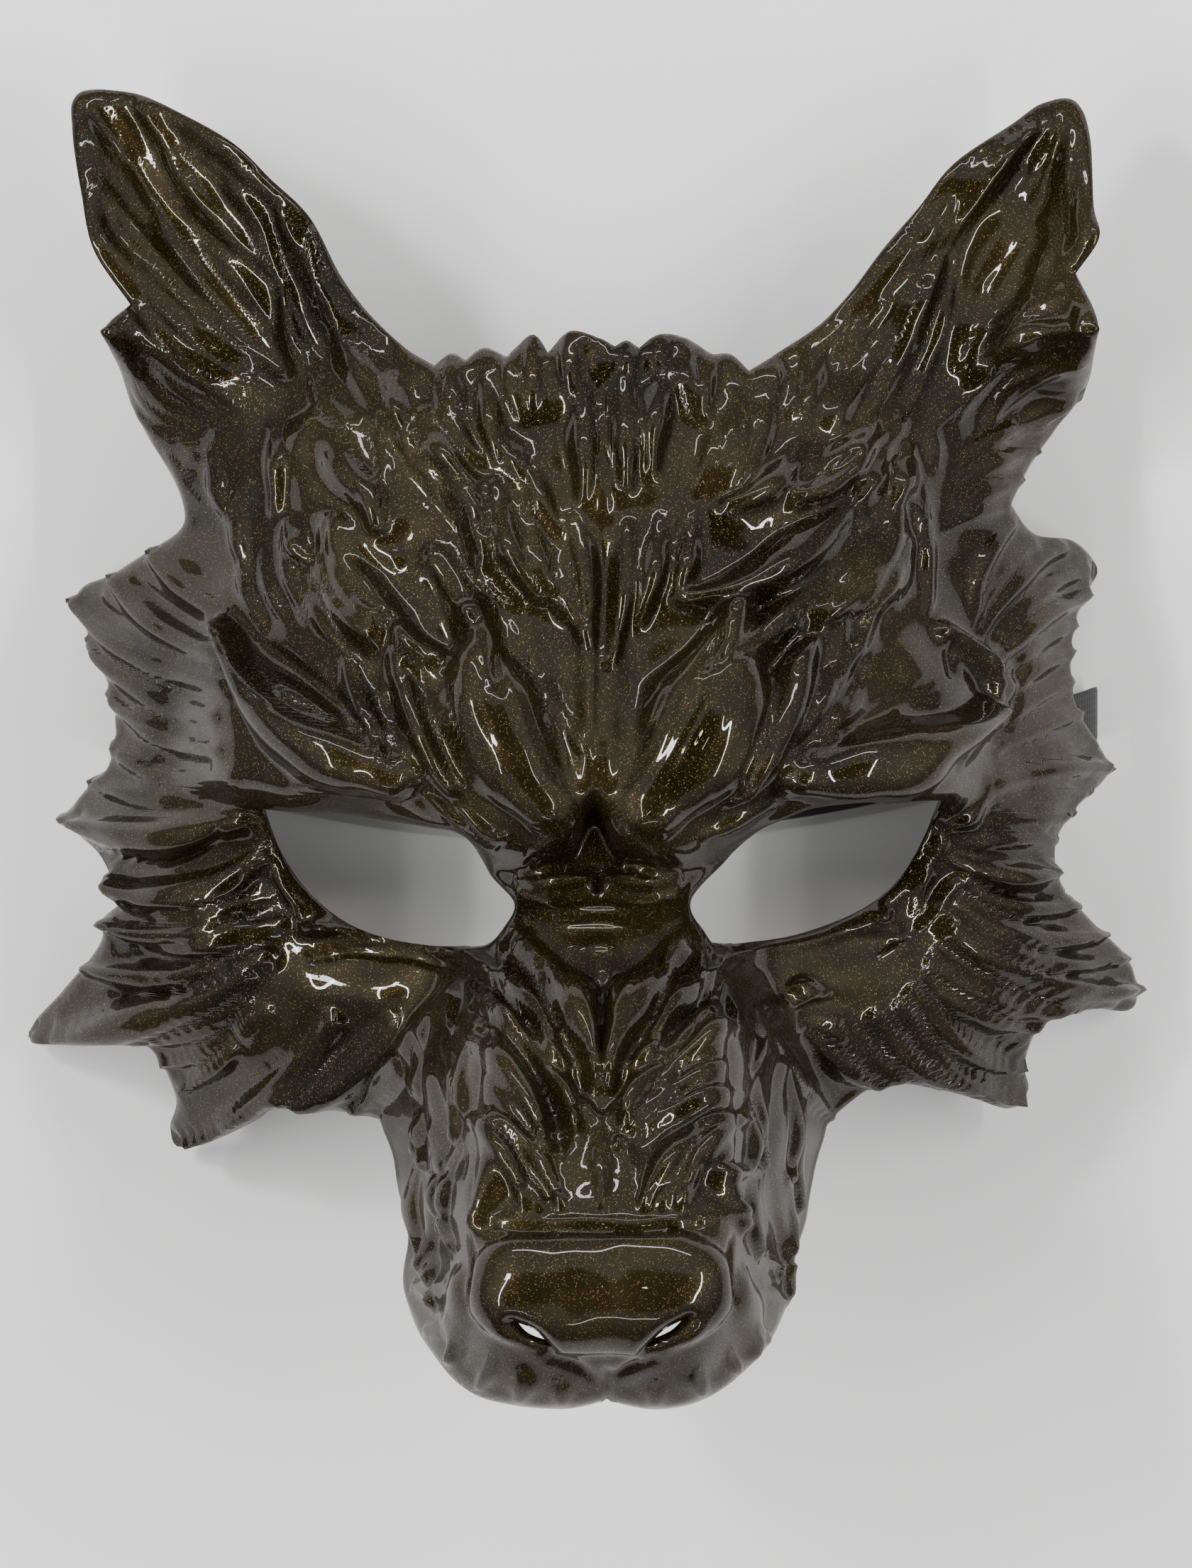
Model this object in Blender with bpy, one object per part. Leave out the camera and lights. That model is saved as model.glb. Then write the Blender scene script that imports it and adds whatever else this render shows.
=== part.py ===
"""A wolf half mask: one thin moulded shell, an elastic strap behind it and the two tabs that hold the strap.

The mask lies on its back rim as it would on a table: +X is the viewer's right, +Y runs up to the ears and
+Z points out of the face. The origin is on the table, under the middle of the mask.

The tables below count in chart steps, taken over a front view of the mask with y running down. A chart
step is a share of the mask: its width holds CHART_RIGHT - CHART_LEFT steps and its height holds
CHART_BOTTOM - CHART_TOP. Heights in the tables are shares of MASK_DEPTH.
"""

import math

import bmesh
import bpy
import numpy as np

# Driving dimensions, in metres
MASK_WIDTH = 0.185          # over the cheek tufts
MASK_HEIGHT = 0.219         # from the ear tips to the upper lip
MASK_DEPTH = 0.115          # of the broad form, from the table to the front of the nose
WALL = 0.0016               # moulded wall under the relief
LOCK_HEIGHT = 0.0026        # the tallest lock of fur over the wall
BROW_RISE = 0.0095          # how far the brow stands over the forehead
EYE_RECESS = 0.0065         # how far the eye sockets sink
EAR_CUP = 0.0065            # how far the ears are dished
PAD_RISE = 0.0026           # nose pad over the snout

STRAP_WIDTH = 0.009
STRAP_THICKNESS = 0.001
TAB_THICKNESS = 0.0015
TAB_MARGIN = 0.0015         # tab beyond the strap on each side
GLUE_GAP = 0.0003           # clearance between touching pieces
SEAT_GAP = 0.0005           # clearance between the tabs and the faceted inner wall
BULGE_LEFT = 0.4165         # how far out the strap swings, as a share of MASK_WIDTH
BULGE_RIGHT = 0.4570

# Mesh steps
OUTER_STEP = 0.0033
INNER_STEP = 0.0052
RIM_STEP = 0.0030
OPENING_STEP = 26           # and round the openings, in chart steps

# Chart
CHART_LEFT, CHART_RIGHT = 43, 1609
CHART_TOP, CHART_BOTTOM = 128, 1981
SNOUT_MIDDLE = 848
FACE_MIDDLE = (CHART_LEFT + CHART_RIGHT) / 2

# Outlines: (x, y, corner). A corner is a sharp tip or notch; curves run through the rest.
SHARP = True
SMOOTH = False
RIM_OUTLINE = (
    (116, 130, SHARP), (180, 136, SMOOTH), (250, 169, SMOOTH), (323, 212, SMOOTH), (375, 261, SMOOTH),
    (431, 315, SMOOTH), (476, 396, SMOOTH), (520, 452, SMOOTH), (565, 490, SMOOTH), (612, 516, SHARP),
    (636, 498, SMOOTH), (656, 508, SHARP), (682, 491, SMOOTH), (715, 505, SHARP), (748, 474, SMOOTH),
    (770, 499, SHARP), (801, 470, SMOOTH), (845, 480, SMOOTH), (867, 491, SHARP), (884, 483, SMOOTH),
    (903, 493, SHARP), (932, 474, SMOOTH), (968, 479, SMOOTH), (1004, 501, SHARP), (1030, 500, SMOOTH),
    (1056, 523, SHARP), (1100, 499, SMOOTH), (1154, 466, SMOOTH), (1200, 421, SMOOTH),
    (1250, 356, SMOOTH), (1300, 299, SMOOTH), (1350, 238, SMOOTH), (1430, 181, SMOOTH),
    (1474, 148, SMOOTH), (1512, 142, SHARP), (1526, 190, SMOOTH), (1529, 288, SMOOTH),
    (1536, 334, SMOOTH), (1505, 384, SHARP), (1534, 457, SMOOTH), (1532, 549, SMOOTH),
    (1492, 607, SMOOTH), (1450, 668, SMOOTH), (1428, 712, SHARP), (1462, 753, SMOOTH),
    (1518, 763, SMOOTH), (1552, 800, SHARP), (1538, 835, SMOOTH), (1516, 893, SMOOTH),
    (1514, 965, SMOOTH), (1530, 1010, SMOOTH), (1567, 1083, SHARP), (1523, 1135, SMOOTH),
    (1493, 1187, SMOOTH), (1496, 1239, SMOOTH), (1541, 1296, SMOOTH), (1593, 1348, SMOOTH),
    (1609, 1395, SMOOTH), (1596, 1426, SHARP), (1535, 1423, SMOOTH), (1471, 1448, SMOOTH),
    (1447, 1500, SMOOTH), (1452, 1540, SMOOTH), (1424, 1565, SMOOTH), (1350, 1543, SMOOTH),
    (1252, 1526, SMOOTH), (1172, 1578, SHARP), (1150, 1651, SMOOTH), (1130, 1739, SMOOTH),
    (1118, 1812, SMOOTH), (1084, 1887, SMOOTH), (1016, 1953, SMOOTH), (933, 1981, SMOOTH),
    (855, 1970, SHARP), (784, 1981, SMOOTH), (682, 1964, SMOOTH), (618, 1915, SMOOTH),
    (573, 1836, SMOOTH), (571, 1739, SMOOTH), (558, 1646, SMOOTH), (536, 1578, SHARP),
    (461, 1565, SMOOTH), (404, 1553, SMOOTH), (346, 1582, SMOOTH), (254, 1620, SHARP),
    (236, 1594, SMOOTH), (245, 1545, SMOOTH), (196, 1472, SMOOTH), (115, 1476, SMOOTH),
    (56, 1467, SMOOTH), (43, 1446, SMOOTH), (86, 1392, SMOOTH), (138, 1328, SMOOTH),
    (141, 1296, SMOOTH), (167, 1273, SHARP), (137, 1207, SMOOTH), (91, 1152, SHARP),
    (130, 1096, SMOOTH), (150, 1078, SMOOTH), (159, 1020, SMOOTH), (144, 950, SMOOTH),
    (102, 841, SHARP), (156, 809, SMOOTH), (203, 780, SHARP), (249, 748, SMOOTH), (256, 716, SMOOTH),
    (231, 659, SMOOTH), (186, 582, SMOOTH), (171, 530, SMOOTH), (154, 480, SMOOTH), (164, 454, SMOOTH),
    (193, 427, SHARP), (144, 351, SMOOTH), (126, 270, SMOOTH), (112, 180, SMOOTH),
)
LEFT_EYE = (
    (370, 1146, SHARP), (398, 1213, SMOOTH), (444, 1273, SMOOTH), (509, 1312, SMOOTH), (616, 1332, SMOOTH),
    (680, 1327, SMOOTH), (710, 1296, SMOOTH), (720, 1268, SMOOTH), (691, 1237, SMOOTH), (654, 1186, SMOOTH),
    (589, 1168, SMOOTH), (455, 1152, SMOOTH),
)
RIGHT_EYE = (
    (1328, 1134, SHARP), (1215, 1139, SMOOTH), (1129, 1149, SMOOTH), (1070, 1178, SMOOTH),
    (1022, 1219, SMOOTH), (978, 1265, SMOOTH), (993, 1304, SMOOTH), (1017, 1326, SMOOTH),
    (1108, 1319, SMOOTH), (1199, 1294, SMOOTH), (1258, 1256, SMOOTH), (1295, 1205, SMOOTH),
)
LEFT_NOSTRIL = ((722, 1850, SHARP), (754, 1862, SMOOTH), (778, 1890, SHARP), (738, 1880, SMOOTH))
RIGHT_NOSTRIL = ((970, 1844, SHARP), (950, 1876, SMOOTH), (908, 1890, SHARP), (936, 1860, SMOOTH))
OPENINGS = (LEFT_EYE, RIGHT_EYE, LEFT_NOSTRIL, RIGHT_NOSTRIL)

# Dome down the face: (y, crown height, half width where the dome meets the table, in steps)
DOME_ROWS = (
    (100, 0.33, 770), (300, 0.35, 760), (470, 0.38, 745), (560, 0.43, 738), (650, 0.47, 732),
    (760, 0.515, 726), (840, 0.535, 728), (920, 0.55, 737), (1050, 0.56, 750), (1160, 0.55, 764),
    (1240, 0.52, 773), (1340, 0.47, 781), (1440, 0.42, 784), (1500, 0.385, 720), (1577, 0.335, 642),
    (1620, 0.29, 598), (1700, 0.17, 580), (1800, -0.02, 580), (2000, -0.40, 580),
)
DOME_POWER = 2.6

# Snout down the face: (y, half width of its top, half width at its rim, top height, rim height)
SNOUT_ROWS = (
    (1000, 50, 140, 0.42, 0.34), (1120, 62, 150, 0.50, 0.40), (1200, 90, 168, 0.530, 0.42),
    (1264, 108, 188, 0.565, 0.42), (1340, 134, 218, 0.640, 0.42), (1400, 162, 250, 0.700, 0.40),
    (1470, 186, 282, 0.765, 0.37), (1580, 192, 312, 0.855, 0.30), (1650, 190, 297, 0.905, 0.36),
    (1709, 186, 282, 0.935, 0.44), (1773, 182, 278, 0.972, 0.54), (1830, 176, 268, 0.975, 0.64),
    (1880, 160, 250, 0.945, 0.72), (1930, 128, 212, 0.880, 0.78), (1981, 80, 160, 0.800, 0.79),
    (2060, 60, 130, 0.660, 0.65),
)
SNOUT_ROUNDNESS = 0.30
SNOUT_RIDGE = 12            # half width of the rounding along its middle, in steps
MERGE_SOFTNESS = 0.05       # how softly the snout runs into the face, a share of MASK_DEPTH

# Brow edge across the face, from left to right: (x, y of the edge above the eyes)
BROW_EDGE = (
    (250, 1075), (320, 1090), (400, 1106), (480, 1112), (560, 1126), (640, 1156), (720, 1186),
    (765, 1190), (805, 1165), (836, 1108), (868, 1160), (905, 1190), (950, 1190), (1010, 1168),
    (1070, 1140), (1150, 1122), (1250, 1114), (1330, 1108), (1400, 1085), (1460, 1070),
)
BROW_SHELF = 55             # steps over which its underside falls to the eye
BROW_RUN = 330              # steps over which it fades up the forehead
BROW_SPAN = (580, 490)      # half widths where it has faded and where it starts to fade

# Eye sockets: (middle x, middle y), and how far they reach across and down
SOCKETS = ((530, 1240), (1165, 1235))
SOCKET_REACH = (290, 170)
SOCKET_FLOOR = 0.35         # share of the reach that is at full depth

# Ears: base middle, tip and half width at the base of each, in steps
EARS = (((368, 520), (128, 132), 165), ((1312, 520), (1508, 146), 165))
EAR_HEIGHTS = (0.315, 0.195)
EAR_TAPER = 0.62            # share of its width that an ear loses on its way to the tip
EAR_LEAN = 0.35             # how far its outer edge drops, as a share of EAR_CUP
EAR_LEVEL = 0.55            # where across the dish its height is the table's, squared
EAR_BLEND_ROWS = (610, 460)
EAR_BLEND_SPAN = (190, 330)

# Locks of fur: (root x, root y, tip x, tip y, bow, half width, height)
# Bow is the sideways swing as a share of the lock's length, half width is in steps and height is a share
# of LOCK_HEIGHT. Rows with a height below zero are grooves.
LOCKS = (
    (845, 500, 838, 1120, 0.00, 16, -1.0), (640, 500, 700, 700, -0.06, 30, 0.9),
    (690, 490, 750, 690, -0.06, 28, 0.9), (745, 480, 790, 680, -0.05, 28, 0.9),
    (805, 476, 822, 700, 0.00, 26, 1.0), (880, 488, 872, 700, 0.00, 26, 1.0),
    (935, 478, 915, 690, 0.05, 28, 0.9), (990, 490, 960, 700, 0.06, 30, 0.9),
    (1040, 510, 1000, 710, 0.08, 30, 0.9), (1100, 505, 1050, 700, 0.10, 32, 0.9),
    (470, 560, 690, 740, -0.12, 42, 0.9), (420, 620, 560, 760, -0.18, 46, 1.0),
    (560, 690, 690, 830, -0.12, 42, 0.9), (470, 770, 635, 930, -0.14, 46, 1.0),
    (640, 770, 770, 1040, -0.10, 44, 0.8), (560, 900, 650, 1110, -0.10, 34, 0.9),
    (700, 780, 800, 1150, -0.08, 40, 0.8), (480, 880, 590, 1085, -0.10, 30, 0.8),
    (1210, 560, 1000, 720, 0.12, 42, 0.9), (1180, 700, 960, 860, 0.16, 44, 1.0),
    (1270, 640, 1150, 800, 0.14, 44, 0.9), (1170, 780, 1005, 965, 0.14, 46, 1.0),
    (1260, 770, 1110, 980, 0.14, 42, 0.8), (1060, 860, 920, 1130, 0.10, 46, 0.8),
    (1180, 900, 1050, 1120, 0.10, 36, 0.9), (980, 800, 880, 1120, 0.08, 40, 0.8),
    (560, 1070, 315, 900, 0.22, 52, 1.0), (1130, 1060, 1365, 920, -0.22, 52, 1.0),
    (250, 590, 150, 160, 0.06, 26, 0.9), (330, 540, 170, 170, 0.04, 24, 0.8),
    (470, 560, 230, 190, -0.14, 30, 1.0), (420, 500, 270, 250, -0.10, 22, 0.8),
    (1400, 600, 1500, 180, -0.06, 26, 0.9), (1330, 560, 1480, 190, -0.04, 24, 0.8),
    (1200, 560, 1440, 200, 0.14, 30, 1.0), (1250, 500, 1400, 260, 0.10, 22, 0.8),
    (330, 760, 255, 640, 0.10, 34, 0.8), (1370, 760, 1440, 660, -0.10, 34, 0.8),
    (330, 900, 130, 850, 0.12, 40, 0.9), (320, 1010, 150, 950, 0.10, 34, 0.8),
    (330, 1130, 110, 1140, 0.12, 40, 0.9), (350, 1230, 160, 1220, 0.10, 34, 0.8),
    (390, 1300, 70, 1440, 0.14, 46, 1.0), (440, 1370, 190, 1460, 0.12, 36, 0.8),
    (520, 1410, 265, 1605, 0.14, 44, 1.0), (620, 1420, 420, 1545, 0.12, 40, 0.8),
    (1370, 880, 1535, 810, -0.12, 40, 0.9), (1380, 990, 1515, 930, -0.10, 34, 0.8),
    (1390, 1110, 1555, 1085, -0.12, 38, 0.9), (1370, 1200, 1490, 1200, -0.10, 34, 0.8),
    (1330, 1290, 1590, 1390, -0.14, 46, 1.0), (1270, 1360, 1480, 1440, -0.12, 36, 0.8),
    (1200, 1390, 1405, 1550, -0.14, 44, 1.0), (1110, 1400, 1250, 1520, -0.12, 40, 0.8),
    (735, 1238, 832, 1240, 0.00, 24, 0.8), (952, 1234, 852, 1240, 0.00, 24, 0.8),
    (740, 1268, 945, 1270, 0.00, 10, -0.7), (845, 1270, 848, 1385, 0.00, 80, 0.7),
    (735, 1300, 848, 1395, 0.00, 12, -0.8), (955, 1300, 852, 1395, 0.00, 12, -0.8),
    (735, 1350, 825, 1530, 0.12, 44, 0.9), (960, 1350, 870, 1530, -0.12, 44, 0.9),
    (700, 1385, 845, 1560, 0.06, 12, -0.9), (990, 1400, 852, 1560, -0.06, 12, -0.9),
    (690, 1430, 830, 1640, 0.14, 40, 0.8), (1010, 1430, 870, 1640, -0.14, 40, 0.8),
    (670, 1550, 770, 1690, 0.12, 36, 0.7), (1030, 1560, 920, 1690, -0.12, 36, 0.7),
    (600, 1500, 600, 1700, 0.10, 24, 0.7), (1100, 1500, 1090, 1700, -0.10, 24, 0.7),
    (848, 1925, 855, 1975, 0.00, 12, -0.9),
)
BOW_POINTS = 17
LOCK_ROOT = 0.45            # a lock's width at its root, as a share of its widest
LOCK_TIP = 0.38             # and at its tip
LOCK_START = 0.35           # its height at the root, as a share of its tallest
GROOVE_DEPTH = 0.6          # depth of a full groove, as a share of LOCK_HEIGHT
GROOVE_LIMIT = 0.4          # the most that a groove takes from the wall, as a share of WALL

# Nose pad: top row, side columns, end row of its V at the sides and at the middle, in steps
PAD_TOP, PAD_LEFT, PAD_RIGHT, PAD_SIDE_END, PAD_MIDDLE_END = 1716, 664, 1022, 1868, 1944
PAD_EDGE = 22

# Strap: rows of the chart where its middle line runs at the walls and behind the face
STRAP_WALL_ROW, STRAP_MIDDLE_ROW = 1020, 1138
TAB_REACH = 0.862           # outer end of the glued stretch, a share of the dome's half width
TAB_SPAN = 0.115            # length of a tab, as such a share
RIM_SHARES = (0.895, 0.936) # where the rim lies over the strap, left and right, as shares of it
STRAP_DROP = 0.0034         # how far under the rim the strap turns outwards
STRAP_SAG_REACH = 0.4324    # half of the sagging stretch, as a share of MASK_WIDTH
TUCK_IN, TUCK_DOWN = 0.0026, 0.0010     # the bend inside the rim, from the rim
RIM_PASS = 0.0002           # how far inside the rim's line the strap passes under it
LOW_BEND_IN, LOW_BEND_UP = 0.0012, 0.0012   # the bend onto the table, from the widest place
LOW_RUN_IN, LOW_RUN_UP = 0.0042, 0.0001     # where it has nearly reached the table
FLAT_START = 0.0085         # where it lies flat

NUMERIC_STEP = 0.0004
UNROLL_COLUMNS = 360
UNROLL_ROWS = 240
UNROLL_MARGIN = 0.006
EDGE_CLEARANCE = 0.6        # lattice points keep this share of a step from an outline


def step_x(steps):
    """Chart steps across the mask to metres."""
    return steps * MASK_WIDTH / (CHART_RIGHT - CHART_LEFT)


def step_y(steps):
    """Chart steps up the mask to metres."""
    return steps * MASK_HEIGHT / (CHART_BOTTOM - CHART_TOP)


def place_x(chart_x):
    """Chart column to the mask's x."""
    return step_x(chart_x - FACE_MIDDLE)


def place_y(chart_y):
    """Chart row to the mask's y."""
    return step_y((CHART_TOP + CHART_BOTTOM) / 2 - chart_y)


def smooth_step(low, high, value):
    share = np.clip((value - low) / (high - low), 0.0, 1.0)
    return share * share * (3.0 - 2.0 * share)


def through(knots, values, at):
    """A smooth curve through knots that rise, held level beyond its ends."""
    knots = np.asarray(knots, dtype=float)
    values = np.asarray(values, dtype=float)
    slopes = np.gradient(values, knots)
    at = np.clip(at, knots[0], knots[-1])
    span = np.clip(np.searchsorted(knots, at, side="right") - 1, 0, len(knots) - 2)
    width = knots[span + 1] - knots[span]
    t = (at - knots[span]) / width
    start, end = values[span], values[span + 1]
    rise_start, rise_end = slopes[span] * width, slopes[span + 1] * width
    return ((2 * t ** 3 - 3 * t ** 2 + 1) * start + (t ** 3 - 2 * t ** 2 + t) * rise_start
            + (3 * t ** 2 - 2 * t ** 3) * end + (t ** 3 - t ** 2) * rise_end)


def down_the_face(rows, column, y):
    """A table's column as a smooth curve of y, with the table's first column as its chart rows."""
    knots = [-place_y(row[0]) for row in rows]
    return through(knots, [row[column] for row in rows], -y)


def dome_height(x, y):
    crown = down_the_face(DOME_ROWS, 1, y) * MASK_DEPTH
    half = step_x(down_the_face(DOME_ROWS, 2, y))
    return crown * (1.0 - np.minimum(np.abs(x) / half, 1.25) ** DOME_POWER)


def ear_height(x, y):
    """Dished ears, each along a line from its base to its tip."""
    height = np.zeros_like(x)
    for base, tip, half_width in EARS:
        start = np.array((place_x(base[0]), place_y(base[1])))
        line = np.array((place_x(tip[0]), place_y(tip[1]))) - start
        length = float(np.hypot(*line))
        line /= length
        along = ((x - start[0]) * line[0] + (y - start[1]) * line[1]) / length
        across = -(x - start[0]) * line[1] + (y - start[1]) * line[0]
        width = step_x(half_width) * (1.0 - EAR_TAPER * np.clip(along, 0.0, 1.0))
        share = np.clip(across / width, -1.5, 1.5)
        middle = EAR_HEIGHTS[0] + (EAR_HEIGHTS[1] - EAR_HEIGHTS[0]) * np.clip(along, -0.3, 1.1)
        outward = share * np.sign(start[0]) * np.sign(line[1])
        ear = middle * MASK_DEPTH + EAR_CUP * (share ** 2 - EAR_LEVEL - EAR_LEAN * outward)
        height = np.where(np.sign(x) == np.sign(start[0]), ear, height)
    return height


def snout_height(x, y):
    top_half = step_x(down_the_face(SNOUT_ROWS, 1, y))
    rim_half = step_x(down_the_face(SNOUT_ROWS, 2, y))
    top = down_the_face(SNOUT_ROWS, 3, y) * MASK_DEPTH
    rim = down_the_face(SNOUT_ROWS, 4, y) * MASK_DEPTH
    away = np.sqrt((x - place_x(SNOUT_MIDDLE)) ** 2 + step_x(SNOUT_RIDGE) ** 2)
    share = (away - top_half) / (rim_half - top_half)
    wall = (share + np.sqrt(share ** 2 + SNOUT_ROUNDNESS ** 2)) / 2
    return top - (top - rim) * wall


def brow_height(x, y):
    """The brow stands over the eyes with a shelf below it and fades up the forehead."""
    edge = place_y(through([row[0] for row in BROW_EDGE], [row[1] for row in BROW_EDGE],
                           x / step_x(1) + FACE_MIDDLE))
    over = y - edge
    shelf = smooth_step(-step_y(BROW_SHELF), 0.0, over)
    fade = 1.0 - smooth_step(0.0, step_y(BROW_RUN), over)
    span = 1.0 - smooth_step(step_x(BROW_SPAN[1]), step_x(BROW_SPAN[0]), np.abs(x))
    return BROW_RISE * shelf * fade * span


def socket_depth(x, y):
    depth = np.zeros_like(x)
    for middle_x, middle_y in SOCKETS:
        reach = np.hypot((x - place_x(middle_x)) / step_x(SOCKET_REACH[0]),
                         (y - place_y(middle_y)) / step_y(SOCKET_REACH[1]))
        depth += EYE_RECESS * (1.0 - smooth_step(SOCKET_FLOOR, 1.0, reach))
    return depth


def face_height(x, y):
    """Height of the moulding's broad form over the table."""
    dome = dome_height(x, y) + brow_height(x, y) - socket_depth(x, y)
    ear_rows = smooth_step(-place_y(EAR_BLEND_ROWS[0]), -place_y(EAR_BLEND_ROWS[1]), -y)
    ear_span = smooth_step(step_x(EAR_BLEND_SPAN[0]), step_x(EAR_BLEND_SPAN[1]), np.abs(x))
    share = ear_rows * ear_span
    dome = dome * (1.0 - share) + ear_height(x, y) * share
    snout = snout_height(x, y)
    soft = MERGE_SOFTNESS * MASK_DEPTH
    return (dome + snout + np.sqrt((dome - snout) ** 2 + soft ** 2)) / 2


def face_normals(x, y):
    step = NUMERIC_STEP
    slope_x = (face_height(x + step, y) - face_height(x - step, y)) / (2 * step)
    slope_y = (face_height(x, y + step) - face_height(x, y - step)) / (2 * step)
    length = np.sqrt(slope_x ** 2 + slope_y ** 2 + 1.0)
    return np.stack((-slope_x / length, -slope_y / length, 1.0 / length), axis=-1)


def bowed_line(root_x, root_y, tip_x, tip_y, bow):
    """Points along a line that swings sideways by a share of its length."""
    root = np.array((place_x(root_x), place_y(root_y)))
    tip = np.array((place_x(tip_x), place_y(tip_y)))
    line = tip - root
    bent = (root + tip) / 2 + bow * np.array((-line[1], line[0])) * 2
    t = np.linspace(0.0, 1.0, BOW_POINTS)[:, None]
    return (1 - t) ** 2 * root + 2 * t * (1 - t) * bent + t ** 2 * tip


def line_distance(points, x, y):
    """Distance of each place from a line of points, and how far along the line it is nearest."""
    nearest = np.full(x.shape, 1e9)
    along = np.zeros(x.shape)
    for index in range(len(points) - 1):
        start, run = points[index], points[index + 1] - points[index]
        t = ((x - start[0]) * run[0] + (y - start[1]) * run[1]) / max(float(run @ run), 1e-12)
        t = np.clip(t, 0.0, 1.0)
        distance = np.hypot(x - start[0] - t * run[0], y - start[1] - t * run[1])
        closer = distance < nearest
        nearest = np.where(closer, distance, nearest)
        along = np.where(closer, (index + t) / (len(points) - 1), along)
    return nearest, along


def lock_relief(x, y):
    """Relief of the locks over the wall: the highest lock at each place, then the grooves."""
    raised = np.zeros(x.shape)
    sunk = np.zeros(x.shape)
    for root_x, root_y, tip_x, tip_y, bow, half_width, height in LOCKS:
        distance, along = line_distance(bowed_line(root_x, root_y, tip_x, tip_y, bow), x, y)
        taper = LOCK_ROOT + (1 - LOCK_ROOT) * smooth_step(0.0, 0.4, along)
        taper -= (1 - LOCK_TIP) * smooth_step(0.55, 1.0, along)
        reach = np.clip(1.0 - (distance / (step_x(half_width) * taper)) ** 2, 0.0, 1.0)
        if height > 0:
            swell = LOCK_START + (1 - LOCK_START) * smooth_step(0.0, 0.6, along)
            raised = np.maximum(raised, LOCK_HEIGHT * height * swell * np.sqrt(reach))
        else:
            sunk = np.maximum(sunk, -LOCK_HEIGHT * height * GROOVE_DEPTH * reach)
    return raised, sunk


def pad_relief(x, y):
    """The nose pad: a plate with a level top edge and a V below."""
    column = x / step_x(1) + FACE_MIDDLE
    row = (CHART_TOP + CHART_BOTTOM) / 2 - y / step_y(1)
    half = (PAD_RIGHT - PAD_LEFT) / 2
    away = np.abs(column - (PAD_LEFT + PAD_RIGHT) / 2)
    bottom = PAD_MIDDLE_END + (PAD_SIDE_END - PAD_MIDDLE_END) * away / half
    inside = np.minimum(np.minimum(row - PAD_TOP, (bottom - row) * 0.85), half - away)
    return PAD_RISE * smooth_step(0.0, PAD_EDGE, inside)


def outer_points(x, y):
    """Points of the outer face: the broad form with its locks and nose pad."""
    raised, sunk = lock_relief(x, y)
    relief = np.maximum(raised, pad_relief(x, y)) - np.minimum(sunk, raised + WALL * GROOVE_LIMIT)
    return np.stack((x, y, face_height(x, y)), axis=-1) + relief[..., None] * face_normals(x, y)


def inner_points(x, y, depth):
    """Points a depth inside the broad form."""
    return np.stack((x, y, face_height(x, y)), axis=-1) - depth * face_normals(x, y)


class Unrolled:
    """Lays the form flat row by row, so that steep walls get as many faces as level ones."""

    def __init__(self):
        reach_x = MASK_WIDTH / 2 + UNROLL_MARGIN
        reach_y = MASK_HEIGHT / 2 + UNROLL_MARGIN
        self.columns = np.linspace(-reach_x, reach_x, UNROLL_COLUMNS)
        self.rows = np.linspace(-reach_y, reach_y, UNROLL_ROWS)
        grid_x, grid_y = np.meshgrid(self.columns, self.rows)
        height = face_height(grid_x, grid_y)
        runs = np.hypot(np.diff(grid_x, axis=1), np.diff(height, axis=1))
        laid = np.concatenate((np.zeros((UNROLL_ROWS, 1)), np.cumsum(runs, axis=1)), axis=1)
        middle = laid[:, UNROLL_COLUMNS // 2][:, None]
        self.laid = laid - middle

    def row_of(self, y):
        """The laid-out positions of one row of the form."""
        place = np.clip((y - self.rows[0]) / (self.rows[1] - self.rows[0]), 0, UNROLL_ROWS - 1.001)
        index = int(place)
        share = place - index
        return self.laid[index] * (1 - share) + self.laid[index + 1] * share

    def flatten(self, points):
        return [(float(np.interp(x, self.columns, self.row_of(y))), y) for x, y in points]

    def fold(self, flat_x, y):
        return float(np.interp(flat_x, self.row_of(y), self.columns))


def outline_points(rows, step):
    """Even points along an outline: curves between its corners, sharp at the corners."""
    places = [np.array((place_x(row[0]), place_y(row[1]))) for row in rows]
    count = len(rows)
    points = []
    for index in range(count):
        start, end = places[index], places[(index + 1) % count]
        before, after = places[index - 1], places[(index + 2) % count]
        chord = end - start
        leave = chord if rows[index][2] else (end - before) / 2
        arrive = chord if rows[(index + 1) % count][2] else (after - start) / 2
        pieces = max(1, round(float(np.hypot(*chord)) / step))
        for t in np.arange(pieces) / pieces:
            point = ((2 * t ** 3 - 3 * t ** 2 + 1) * start + (t ** 3 - 2 * t ** 2 + t) * leave
                     + (3 * t ** 2 - 2 * t ** 3) * end + (t ** 3 - t ** 2) * arrive)
            points.append((float(point[0]), float(point[1])))
    return points


def is_inside(outline, x, y):
    """Whether each place lies within a closed outline."""
    corners = np.array(outline)
    crossings = np.zeros(x.shape, dtype=int)
    for (x0, y0), (x1, y1) in zip(corners, np.roll(corners, -1, axis=0)):
        spans = (y0 > y) != (y1 > y)
        if y1 != y0:
            crossings += spans & (x < x0 + (y - y0) / (y1 - y0) * (x1 - x0))
    return crossings % 2 == 1


def outline_distance(outline, x, y):
    closed = np.array(list(outline) + [outline[0]])
    return line_distance(closed, x, y)[0]


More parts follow.
